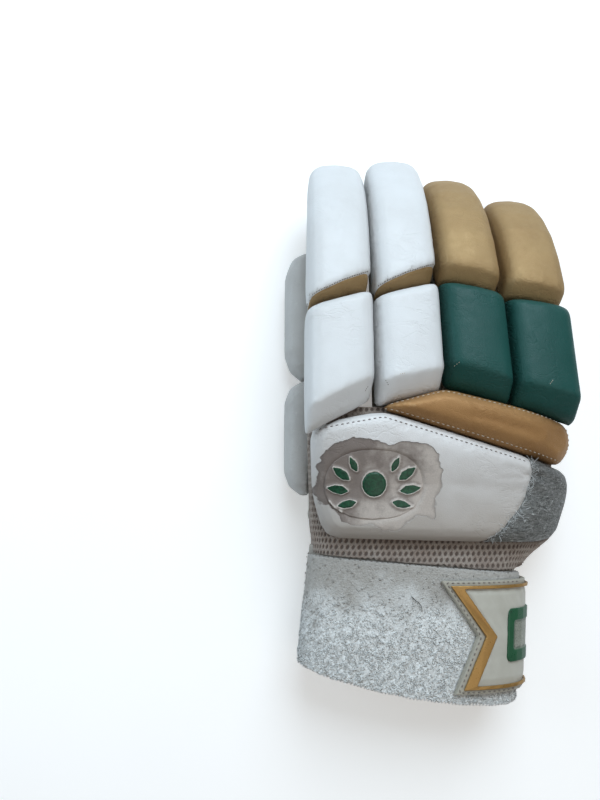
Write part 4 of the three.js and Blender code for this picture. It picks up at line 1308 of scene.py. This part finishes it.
@dataclass
class HandShell(SubAssembly):
    """The soft hand and finger stalls under the pads.

    Attributes:
        voxel: Size of the faces.
        smoothing: Rounds of smoothing.
        sections: For places along the hand: y, middle x, half width, middle z, depth, in millimetres.
        across: Distance between the mesh's holes across the hand, millimetres.
        along: Distance between their rows, millimetres.
        depth: How deep they are.
        lining: Where the wrist's lining starts and ends along y, and how far it is moved from the cuff's place.
        lining_middle: The middle of the wrist.
        lining_scale: The lining's size against the cuff's.
        gusset_shift: How far the gusset reaches back from the index finger's stall.
        gusset_end: Where it ends, along y.
        thumb_middle: The middle of the rounded shell behind the thumb.
        thumb_size: Its half sizes.
    """

    voxel: float = 0.9 * MM
    smoothing: int = 5
    sections: tuple[tuple[float, ...], ...] = (
        (-70.67, -6.49, 47.2, 22.15, 38.0),
        (-36.67, 2.75, 57.66, 23.65, 32.96),
        (-2.67, 3.54, 58.41, 35.63, 28.0),
    )
    across: float = 2.5
    along: float = 2.7
    depth: float = 0.7 * MM
    lining: tuple[float, ...] = (-63.0 * MM, -80.0 * MM, 8.0 * MM)
    lining_middle: Colour = (-7.0 * MM, -71.0 * MM, 8.0 * MM)
    lining_scale: Colour = (0.975, 1.0, 0.9)
    gusset_shift: Colour = (0.8 * MM, -16.0 * MM, 0.4 * MM)
    gusset_end: float = -4.5 * MM
    thumb_middle: Colour = (-45.5 * MM, -49.0 * MM, 15.6 * MM)
    thumb_size: Colour = (10.2 * MM, 9.0 * MM, 10.7 * MM)

    def holes(self, places: Points) -> np.ndarray:
        """How deep in one of the mesh's holes each place is, 0 to 1.

        Args:
            places: The places.

        Returns:
            One number for each place.
        """
        x, y, z = (places / MM).T
        rows = np.array(self.sections)
        middle, half, height, depth = (np.interp(y, rows[:, 0], rows[:, k]) for k in (1, 2, 3, 4))
        side = np.clip((np.abs(x - middle) / half - 0.8) / 0.2, 0, 1)
        u = x - middle + np.sign(x - middle) * side * (height + 0.42 * depth - z)
        row = y / self.along
        column = u / self.across + np.floor(row) % 2 * 0.5
        dx, dy = column % 1 - 0.5, row % 1 - 0.5
        wide = np.interp(dy, [-0.45, 0.1, 0.45], [0.3, 0.34, 0.14])
        far = np.hypot(dx / wide, dy / 0.43)
        return np.clip((1.12 - far) / 0.5, 0, 1)

    def gusset(self) -> bpy.types.Object:
        """Continues the index finger's stall into the hand, where the mesh is cut away for it."""
        patch = copy_of("gusset", "index_stall")
        pick(patch)
        bpy.ops.object.mode_set(mode="EDIT")
        bpy.ops.mesh.select_all(action="SELECT")
        bpy.ops.transform.translate(value=self.gusset_shift)
        bpy.ops.mesh.bisect(plane_co=(0, self.gusset_end, 0), plane_no=(0, 1, 0), use_fill=True, clear_outer=True)
        bpy.ops.object.mode_set(mode="OBJECT")
        return patch

    def thumb_ball(self) -> bpy.types.Object:
        """The rounded shell that closes the thumb's stall behind its root."""
        bpy.ops.object.select_all(action="DESELECT")
        bpy.ops.mesh.primitive_uv_sphere_add(segments=24, ring_count=16, radius=1, location=self.thumb_middle, scale=self.thumb_size)
        ball = bpy.context.object
        bpy.ops.object.transform_apply(location=True, rotation=True, scale=True)
        select_faces(ball, faces_of(ball)[0][:, 1] > self.thumb_middle[1] + 1.5 * MM)
        bpy.ops.mesh.delete(type="FACE")
        bpy.ops.object.mode_set(mode="OBJECT")
        modify(ball, "SOLIDIFY", thickness=2.0 * MM, offset=-1)
        return ball

    def make_back(self) -> None:
        """Makes the mesh back, with its holes pressed in wherever it shows."""
        back = remeshed("soft_mesh", self.voxel, self.smoothing, "mesh_back", patch=self.gusset())
        others = surface_of(*frame["nodes"].values())
        middles, out, _ = faces_of(back)
        open_sky = [others.ray_cast(Vector(m + o * 1.2 * MM), Vector(o), 25 * MM)[0] is None for m, o in zip(middles, out)]
        select_faces(back, np.array(open_sky))
        bpy.ops.mesh.subdivide(number_cuts=1, smoothness=0)
        bpy.ops.object.mode_set(mode="OBJECT")
        shown = np.zeros(len(back.data.vertices), bool)
        back.data.vertices.foreach_get("select", shown)
        places = points_of(back)
        hole = self.holes(places) * shown
        move_points(back, places - normals_of(back) * (hole * self.depth)[:, None])
        paint(back, "hole", hole)
        dress(back, ["mesh_back"])
        self.settle(back, self.finishes.spacer, ["mesh_back"])

    def make_lining(self) -> None:
        """Makes the wrist's lining, which bridges the hand and the cuff from inside."""
        lining = copy_of("wrist_lining", "cuff")
        pick(lining)
        start, end, shift = self.lining
        bpy.ops.object.mode_set(mode="EDIT")
        bpy.ops.mesh.select_all(action="SELECT")
        bpy.ops.transform.translate(value=(0, shift, 0))
        bpy.ops.transform.resize(value=self.lining_scale, center_override=self.lining_middle)
        bpy.ops.mesh.bisect(plane_co=(0, end, 0), plane_no=(0, -1, 0), use_fill=True, clear_outer=True)
        bpy.ops.mesh.select_all(action="SELECT")
        bpy.ops.mesh.bisect(plane_co=(0, start, 0), plane_no=(0, 1, 0), use_fill=True, clear_outer=True)
        bpy.ops.object.mode_set(mode="OBJECT")
        lining.data.remesh_voxel_size = self.voxel
        pick(lining)
        bpy.ops.object.voxel_remesh()
        modify(lining, "SMOOTH", factor=0.5, iterations=self.smoothing)
        dress(lining, ["cuff"])
        self.settle(lining, self.finishes.palm)

    def make(self) -> None:
        """Makes the palm, the mesh back and the stalls."""
        f = self.finishes
        palm = remeshed("soft_palm", self.voxel, self.smoothing, "palm", patch=self.thumb_ball())
        dress(palm, ["palm"])
        self.settle(palm, f.palm, ["palm"])
        self.make_back()
        self.make_lining()
        for finger in ("index", "middle", "ring", "little", "thumb"):
            stall = remeshed(f"soft_{finger}", self.voxel, self.smoothing, f"{finger}_stall")
            dress(stall, [f"{finger}_stall"])
            self.settle(stall, f.palm, [f"{finger}_stall"])


@dataclass
class Cuff(SubAssembly):
    """The towelling cuff with its loops.

    Attributes:
        voxel: Size of the faces.
        seam: Where the cuff meets the hand, along y.
        hem: Where it ends, along y.
        middles: x of its middle at the seam and at the hem.
        height: z of its middle.
        loops: How many loops stand on it.
    """

    voxel: float = 1.13 * MM
    seam: float = -71.0 * MM
    hem: float = -127.0 * MM
    middles: tuple[float, float] = (-6.5 * MM, -11.5 * MM)
    height: float = 22.8 * MM
    loops: int = 9400

    def down(self, places: Points) -> np.ndarray:
        """How far down the cuff each place is: 0 at the seam, 1 at the hem."""
        return np.clip((self.seam - places[:, 1]) / (self.seam - self.hem), 0, 1)

    def outward(self, places: Points) -> Points:
        """The direction away from the cuff's middle line at each place."""
        away = places - np.column_stack([np.interp(self.down(places), [0, 1], self.middles), places[:, 1], np.full(len(places), self.height)])
        return away / np.maximum(np.linalg.norm(away, axis=1, keepdims=True), 1e-9)

    def rim(self, piece: bpy.types.Object, end: int) -> Points:
        """The closed line round one end of the cuff's outer side.

        Args:
            piece: The towelling.
            end: 1 for the seam and -1 for the hem.

        Returns:
            The line's points.
        """
        places = points_of(piece)
        outer = (normals_of(piece) * self.outward(places)).sum(1) > 0.2
        places = places[outer]
        angle = np.arctan2(places[:, 2] - self.height, (places[:, 0] - self.middles[0]) * 0.42)
        part = ((angle + math.pi) / (2 * math.pi) * 120).astype(int)
        ring = [places[part == k][np.argmax(end * places[part == k, 1])] for k in range(120) if (part == k).any()]
        line = np.array([*ring, ring[0]])
        line[1:-1] = (line[:-2] + line[1:-1] * 2 + line[2:]) / 4
        return line

    def make_loops(self, piece: bpy.types.Object) -> None:
        """Stands loops on the outer side, thickest towards the hem.

        Args:
            piece: The towelling.
        """
        arch = [(-0.36, 0, -0.3), (-0.24, 0.08, 0.6), (0.24, 0.08, 0.6), (0.36, 0, -0.3)]
        shape = strand(arch, [0.25] * 4, 3)
        chance = np.random.default_rng(7)
        middles, out, areas = faces_of(piece)
        covers = surface_of(frame["nodes"]["strap"])
        weight = areas * (0.04 + np.clip(self.down(middles) * 2.2 - 0.45, 0, 1))
        weight *= ((out * self.outward(middles)).sum(1) > 0.3) & (middles[:, 2] > 2.0 * MM)
        chosen = chance.choice(len(middles), self.loops, replace=False, p=weight / weight.sum())
        clear = [covers.find_nearest(Vector(middles[i]), 1.1 * MM)[0] is None for i in chosen]
        chosen = chosen[np.array(clear)]
        count = len(chosen)
        up = out[chosen] + chance.normal(0, 0.45, (count, 3))
        forward, side, up = axes(chance.normal(0, 1, (count, 3)), up)
        size = chance.uniform(0.6, 1.1, (count, 1)) * MM
        frames = np.stack([forward * size * 1.1, side * size * 1.1, up * size * 0.8], axis=1)
        loops = scattered(shape, middles[chosen], frames, "towel_loops")
        paint(loops, "down", self.down(points_of(loops)))
        self.settle(loops, self.finishes.towel)

    def make(self) -> bpy.types.Object:
        """Makes the towelling tube and its loops."""
        cuff = remeshed("towel_tube", self.voxel, 4, "cuff")
        subdivided(cuff)
        places = points_of(cuff)
        pile = cuff.vertex_groups.new(name="pile")
        for step in range(11):
            members = np.nonzero(np.round(np.clip(self.down(places) * 1.7 - 0.25, 0.1, 1) * 10) == step)[0]
            pile.add(members.tolist(), step / 10, "REPLACE")
        for name, size, height in (("Clumps", 3.6, 1.3), ("Tufts", 1.2, 0.55)):
            texture = bpy.data.textures.new(name, "CLOUDS")
            texture.noise_scale = size * MM
            texture.noise_depth = 3
            modify(cuff, "DISPLACE", texture=texture, texture_coords="LOCAL", strength=height * MM, mid_level=0.6, vertex_group="pile")
        dress(cuff, ["cuff"])
        paint(cuff, "down", self.down(points_of(cuff)))
        self.settle(cuff, self.finishes.towel, ["cuff"])
        self.make_loops(cuff)
        return cuff


@dataclass
class WristStrap(SubAssembly):
    """The strap with its gold trim and raised tab.

    Attributes:
        voxel: Size of the strap's faces.
        fine_voxel: Size of the trim's and the tab's faces.
        near: The strap's edge by the hem, along y, millimetres.
        width: Its width, millimetres.
        start: Its far tail's tip from the cuff's middle line, millimetres.
        notch: Depth of the V cut in its end, millimetres.
        skew: How much nearer the other tail ends, millimetres.
        frame: Breadth of the trim along the V and its margin, millimetres.
        border: Breadth of the tab's border, millimetres.
        corners: The radii of the tab's outer and inner corners, millimetres.
    """

    voxel: float = 0.8 * MM
    fine_voxel: float = 0.35 * MM
    near: float = -123.17
    width: float = 46.0
    start: float = 8.5
    notch: float = 13.0
    skew: float = 8.0
    frame: float = 6.5
    border: float = 4.0
    corners: tuple[float, float] = (3.0, 1.6)

    def middle(self, y: np.ndarray) -> np.ndarray:
        """x of the cuff's middle line at each y, millimetres."""
        return -6.49 - 5.0 * (-70.67 - y) / 54.5

    def tail(self, y: np.ndarray) -> np.ndarray:
        """x of the V end at each y, millimetres."""
        across = 1 - (y - self.near) / self.width
        return self.middle(y) + self.start + self.notch * (1 - np.abs(2 * across - 1)) + self.skew * across

    def outline(self, inset: float) -> Points:
        """A line inside the strap's visible edges, x and y, in metres."""
        far, near = self.near + self.width - inset, self.near + inset
        low, mid, top = (float(self.tail(np.array(y))) + inset * 1.4 for y in (near, self.near + self.width / 2, far))
        end = self.middle(np.array([near, far])) + 44.0
        return np.array([(end[0], near), (low, near), (mid, self.near + self.width / 2), (top, far), (end[1], far)]) * MM

    def make_band(self) -> bpy.types.Object:
        """Makes the strap: a woven border round a soft panel."""
        band = remeshed("coated_band", self.voxel, 3, "strap")
        subdivided(band)
        places, out = points_of(band), normals_of(band)
        x, y, z = (places / MM).T
        inside = np.minimum(x - self.tail(y) - self.frame, self.width / 2 - np.abs(y - self.near - self.width / 2) - 3.4)
        panel = np.clip(inside / 3.0, 0, 1) * (z > 6.0)
        away = out * np.array([1.0, 0, 1.0])
        faces_out = (away * np.column_stack([x - self.middle(y), np.zeros(len(x)), z - 22.8])).sum(1) > 0
        swell = panel * panel * (3 - 2 * panel) * faces_out
        move_points(band, places + out * (swell * 0.45 * MM)[:, None])
        paint(band, "second", np.clip(1 - (inside + 1.5) / 1.0, 0, 1))
        dress(band, ["strap", "strap_trim", "strap_tab"])
        return self.settle(band, self.finishes.strap, ["strap"])

    def make_tab(self) -> None:
        """Makes the raised tab, a border round a sunk field."""
        tab = remeshed("raised_tab", self.fine_voxel, 10, "strap_tab")
        places, out = points_of(tab), normals_of(tab)
        x, y, z = (places / MM).T
        run = x - self.middle(y) + np.maximum(0, z.max() - z)
        run -= run.min()
        wide = (y.max() - y.min()) / 2 - np.abs(y - (y.max() + y.min()) / 2)
        outer, inner = self.corners
        u, v = np.minimum(run, run.max() - run) - self.border, wide - self.border - 0.8
        cut = inner - np.hypot(inner - u, inner - v)
        field = np.clip(np.where((u < inner) & (v < inner), cut, np.minimum(u, v)) / 0.5, 0, 1)
        away = (out * np.column_stack([x - self.middle(y), np.zeros(len(x)), z - 22.8])).sum(1)
        places = places - out * (field * (away > 0) * 0.4 * MM)[:, None]
        du, dv = np.maximum(outer - run, 0), np.maximum(outer - wide, 0)
        pull = np.maximum(1 - outer / np.maximum(np.hypot(du, dv), 1e-6), 0) * MM
        places[:, 0] += du * pull
        places[:, 1] -= dv * pull * np.sign(y - (y.max() + y.min()) / 2)
        move_points(tab, places)
        paint(tab, "second", field)
        dress(tab, ["strap_tab", "strap"])
        self.settle(tab, self.finishes.tab, ["strap_tab"])

    def make(self) -> bpy.types.Object:
        """Makes the strap and what lies on it."""
        band = self.make_band()
        trim = remeshed("gold_piping", self.fine_voxel, 3, "strap_trim")
        dress(trim, ["strap_trim"])
        self.settle(trim, self.finishes.trim, ["strap_trim"])
        self.make_tab()
        return band


@dataclass
class Sewing(SubAssembly):
    """The rows of stitches, and the loose threads.

    Attributes:
        pitch: Distance between stitches.
        length: Length of one.
        width: Its width.
        height: How far it stands up.
        pad_rows: x and y along the dark rows on the back pad, millimetres.
        roll_rows: x and y along the pale rows on the knuckle roll, millimetres.
        corner_edge: x and y along the silver corner's edge, millimetres.
        ticks: Blocks with a few bare stitches at a corner: the node, and shares of its box across and along.
    """

    pitch: float = 2.3 * MM
    length: float = 1.3 * MM
    width: float = 0.48 * MM
    height: float = 0.35 * MM
    pad_rows: tuple[tuple[tuple[float, float], ...], ...] = (
        ((-51.6, -13.4), (-24.0, -8.7), (40.6, -26.6)),
    )
    roll_rows: tuple[tuple[tuple[float, float], ...], ...] = (
        ((-23.5, -3.6), (2.7, 2.9), (60.6, -9.6), (64.8, -18.2), (59.2, -26.1)),
        ((-23.5, -4.2), (59.2, -26.1)),
    )
    corner_edge: tuple[tuple[float, float], ...] = ((21.4, -60.0), (26.4, -56.4), (37.6, -44.8), (43.0, -31.2), (41.9, -24.2))
    ticks: tuple[tuple[str, float, float, float], ...] = (
        ("index_knuckle_block", 0.86, 0.30, 1.0),
        ("middle_knuckle_block", 0.16, 0.16, -1.0),
        ("middle_knuckle_block", 0.36, 0.22, 0.2),
        ("ring_knuckle_block", 0.18, 0.30, 0.6),
        ("little_knuckle_block", 0.50, 0.30, 0.9),
    )

    def __post_init__(self) -> None:
        """Models one stitch and one loose thread."""
        self.stitch = strand([(-0.5, 0, -0.4), (-0.3, 0, 0.35), (0.3, 0, 0.35), (0.5, 0, -0.4)], [0.2, 0.5, 0.5, 0.2], 5)
        curl = [(0, 0, 0), (0.22, 0.05, 0.06), (0.45, 0.16, 0.1), (0.7, 0.2, 0.08), (1.0, 0.08, 0.05)]
        self.thread = strand(curl, [0.03, 0.028, 0.026, 0.022, 0.012], 3)

    def sew(self, name: str, places: Points, out: Points, finish: object, turn: float = 0.0, size: float = 1.0) -> None:
        """Sews one stitch at each place of a line.

        Args:
            name: The new piece's name.
            places: The places, in order.
            out: The surface's outward direction at each.
            finish: The thread's finish.
            turn: How far each stitch is turned out of the line, in radians.
            size: Its size against the usual one.
        """
        forward, side, up = axes(np.gradient(places, axis=0), out)
        forward, side = forward * math.cos(turn) + side * math.sin(turn), side * math.cos(turn) - forward * math.sin(turn)
        frames = np.stack([forward * self.length, side * self.width, up * self.height], axis=1) * size
        self.settle(scattered(self.stitch, places, frames, name), finish)

    def rows(self, name: str, surface: BVHTree, rows: Iterable[Points], finish: object) -> None:
        """Sews rows that are given from above.

        Args:
            name: The new pieces' name.
            surface: What they are sewn on.
            rows: x and y along each row, in metres.
            finish: The thread's finish.
        """
        for number, row in enumerate(rows, 1):
            self.sew(f"{name}_{number}", *dropped(surface, course(row, self.pitch)), finish)

    def fray(self, name: str, surface: BVHTree, path: Points, finish: object, count: int, lengths: tuple[float, float], drift: float, seed: int) -> None:
        """Strews loose threads along a line.

        Args:
            name: The new piece's name.
            surface: What they lie on.
            path: x and y along the line, in metres.
            finish: Their finish.
            count: How many there are.
            lengths: The shortest and the longest, in metres.
            drift: How far from the line they start, in metres.
            seed: The seed of their places.
        """
        chance = np.random.default_rng(seed)
        line = course(path, 0.2 * MM)
        starts = line[chance.integers(0, len(line), count)][:, :2] + chance.normal(0, drift, (count, 2))
        places, out = dropped(surface, starts)
        forward, side, up = axes(chance.normal(0, 1, (len(places), 3)), out + chance.normal(0, 0.25, (len(places), 3)))
        size = chance.uniform(*lengths, (len(places), 1, 1))
        flip = chance.choice([-1.0, 1.0], (len(places), 1))
        frames = np.stack([forward, side * flip, up * flip * flip], axis=1) * size
        self.settle(scattered(self.thread, places, frames, name), finish)

    def border(self, piece: bpy.types.Object, node: str) -> tuple[Points, Points]:
        """The line where a pad's upper side meets a neighbour.

        Args:
            piece: The pad.
            node: The neighbour's CAD node.

        Returns:
            Its places in order of x, and the outward direction at each.
        """
        other = surface_of(frame["nodes"][node])
        places, out = points_of(piece), normals_of(piece)
        near = np.array([n[2] > 0.25 and other.find_nearest(Vector(p), 1.5 * MM)[0] is not None for p, n in zip(places, out)])
        places, out = places[near], out[near]
        part = ((places[:, 0] - places[:, 0].min()) / (1.0 * MM)).astype(int)
        kept = [k for k in range(part.max() + 1) if (part == k).any()]
        line = np.array([places[part == k].mean(0) for k in kept])
        up = np.array([out[part == k].mean(0) for k in kept])
        line[1:-1] = (line[:-2] + line[1:-1] * 2 + line[2:]) / 4
        return line, up

    def make(self, cuff: Cuff, towel: bpy.types.Object, strap: WristStrap, band: bpy.types.Object) -> None:
        """Sews everything.

        Args:
            cuff: The cuff's sizes.
            towel: Its towelling.
            strap: The strap's sizes.
            band: The strap itself.
        """
        f, objects = self.finishes, bpy.data.objects
        pads = surface_of(objects["stuffed_back"], objects["stuffed_corner"])
        self.rows("pad_stitches", pads, [np.array(row) * MM for row in self.pad_rows], f.hole_shade_thread)
        roll = surface_of(objects["stuffed_roll"])
        self.rows("roll_stitches", roll, [np.array(row) * MM for row in self.roll_rows], f.pale_thread)
        for finger in ("index", "middle"):
            line, out = self.border(objects[f"{finger}_tip_pad"], f"{finger}_end_panel")
            spots = course(np.hstack([line, out]), 1.25 * MM)
            self.sew(f"{finger}_edge_stitches", spots[:, :3], spots[:, 3:], f.brown_thread, 0.35, 0.8)
            self.fray(f"{finger}_edge_fluff", surface_of(objects[f"{finger}_tip_pad"]), line, f.brown_thread, 40, (0.8 * MM, 1.8 * MM), 0.4 * MM, 3)
        self.rows("strap_stitches", surface_of(band), [strap.outline(0.95)], f.hole_shade_thread)
        corner_edge = np.array(self.corner_edge) * MM
        self.fray("silver_fray", pads, corner_edge, f.white_fibre, 190, (1.5 * MM, 4.0 * MM), 0.9 * MM, 5)
        self.fray("silver_fluff", pads, corner_edge + np.array([11.0 * MM, 0]), f.white_fibre, 40, (1.2 * MM, 3.2 * MM), 6.0 * MM, 11)
        for end, name, pitch in ((-1, "hem_overlock", 1.5 * MM), (1, "seam_stitches", 2.4 * MM)):
            line = course(cuff.rim(towel, end), pitch)
            out = cuff.outward(line) + (0.0, 0.5 * end, 0.0)
            finish = f.white_fibre if end < 0 else f.hole_shade_thread
            self.sew(name, line, out, finish, 1.2 if end < 0 else 0.0, 1.3 if end < 0 else 0.8)
        top = surface_of(towel)
        fibre = np.array([(-11.6, -83.9), (-9.2, -87.6), (-7.6, -90.6)]) * MM
        places, out = dropped(top, fibre)
        shape = (self.thread[0] * (1, 1, 1), self.thread[1])
        along = (places[-1] - places[0])[None]
        forward, side, up = axes(along, out[:1])
        size = np.linalg.norm(along)
        stray = scattered(shape, places[:1] + out[:1] * 0.5 * MM, np.stack([forward * size, side * size, up * size], axis=1), "stray_fibre")
        self.settle(stray, f.black_fibre)
        for number, (node, across, share, turn) in enumerate(self.ticks, 1):
            low, high = (np.array(corner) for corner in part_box(node))
            spot = low[:2] + (high[:2] - low[:2]) * (across, share)
            step = np.array([math.cos(turn), math.sin(turn)]) * 0.9 * MM
            pad = surface_of(objects[node.replace("block", "pad")])
            finish = f.hole_shade_thread if number < 3 else f.pale_thread
            self.sew(f"corner_tick_{number}", *dropped(pad, np.array([spot - step, spot, spot + step])), finish, 0.5, 0.5)


# ---------------------------------------------------------------- the studio


@dataclass
class Studio:
    """The pale floor, the soft lights and the camera.

    Attributes:
        lens: The focal length, for a 36 mm sensor along the picture's longer side.
        eye: Where the camera is.
        tilt: How far it looks away from straight down, in degrees.
    """

    lens: float = 27.9
    eye: Colour = (-0.0593, -0.047, 0.320)
    tilt: float = 10.0

    def floor(self) -> None:
        """Lays the floor."""
        bpy.ops.mesh.primitive_plane_add(size=4.0, location=(0, 0, -0.0002))
        floor = bpy.context.object
        floor.name = "studio_floor"
        recipe = Recipe("pale_floor")
        soft = recipe.noise(recipe.mapped(60.0), 2)
        seen = recipe.add("ShaderNodeLightPath").outputs["Is Camera Ray"]
        recipe.set(
            Base_Color=recipe.blend(soft, (0.92, 0.92, 0.92), (0.95, 0.95, 0.95)),
            Roughness=0.9,
            Emission_Color=(1.0, 0.97, 0.93),
            Emission_Strength=recipe.sum("MULTIPLY", seen, 0.3),
        )
        floor.data.materials.append(recipe.material)

    def light(self, name: str, place: Colour, target: Colour, size: float, power: float, colour: Colour) -> None:
        """Adds a soft light.

        Args:
            name: Its name.
            place: Where it is.
            target: Where it points.
            size: Its width and height.
            power: Its power in watts.
            colour: Its colour.
        """
        lamp = bpy.data.lights.new(name, "AREA")
        lamp.shape = "SQUARE"
        lamp.size = size
        lamp.energy = power
        lamp.color = colour
        holder = bpy.data.objects.new(name, lamp)
        bpy.context.scene.collection.objects.link(holder)
        holder.location = place
        holder.rotation_euler = (Vector(place) - Vector(target)).to_track_quat("Z", "Y").to_euler()

    def make(self) -> None:
        """Builds the studio."""
        self.floor()
        self.light("window", (0.12, 0.50, 0.62), (0, 0.03, 0.03), 0.6, 5.6, (0.76, 0.89, 1.0))
        self.light("ceiling", (0.25, -0.30, 0.80), (0, 0, 0.03), 0.8, 1.5, (1.0, 0.96, 0.90))
        self.light("side_window", (-0.52, 0.10, 0.32), (0, 0.03, 0.04), 0.35, 0.9, (0.68, 0.86, 1.0))
        world = bpy.data.worlds.new("studio_world")
        world.use_nodes = True
        back = world.node_tree.nodes["Background"]
        back.inputs["Color"].default_value = (1.0, 0.985, 0.96, 1.0)
        seen = world.node_tree.nodes.new("ShaderNodeLightPath").outputs["Is Camera Ray"]
        strength = world.node_tree.nodes.new("ShaderNodeMapRange")
        strength.inputs["To Min"].default_value = 0.15
        strength.inputs["To Max"].default_value = 0.85
        world.node_tree.links.new(seen, strength.inputs["Value"])
        world.node_tree.links.new(strength.outputs["Result"], back.inputs["Strength"])
        scene = bpy.context.scene
        scene.world = world
        scene.view_settings.view_transform = "Standard"
        camera = bpy.data.cameras.new("studio_camera")
        camera.sensor_fit = "AUTO"
        camera.sensor_width = 36.0
        camera.lens = self.lens
        camera.clip_start = 0.01
        holder = bpy.data.objects.new("studio_camera", camera)
        scene.collection.objects.link(holder)
        holder.location = self.eye
        holder.rotation_euler = (math.radians(self.tilt), 0, 0)
        scene.camera = holder


def main() -> None:
    """Builds the glove, then the studio."""
    finishes = Finishes()
    blocks = PaddedBlocks(finishes)
    back = BackOfHand(finishes)
    cut_blocks, cut_pads = blocks.cut(), back.cut()
    Stuffing().fill([*cut_blocks, *cut_pads])
    blocks.finish(cut_blocks)
    back.finish(cut_pads)
    HandShell(finishes).make()
    cuff, strap = Cuff(finishes), WristStrap(finishes)
    towel, band = cuff.make(), strap.make()
    Sewing(finishes).make(cuff, towel, strap, band)
    Studio().make()


if __name__ == "__main__":
    main()
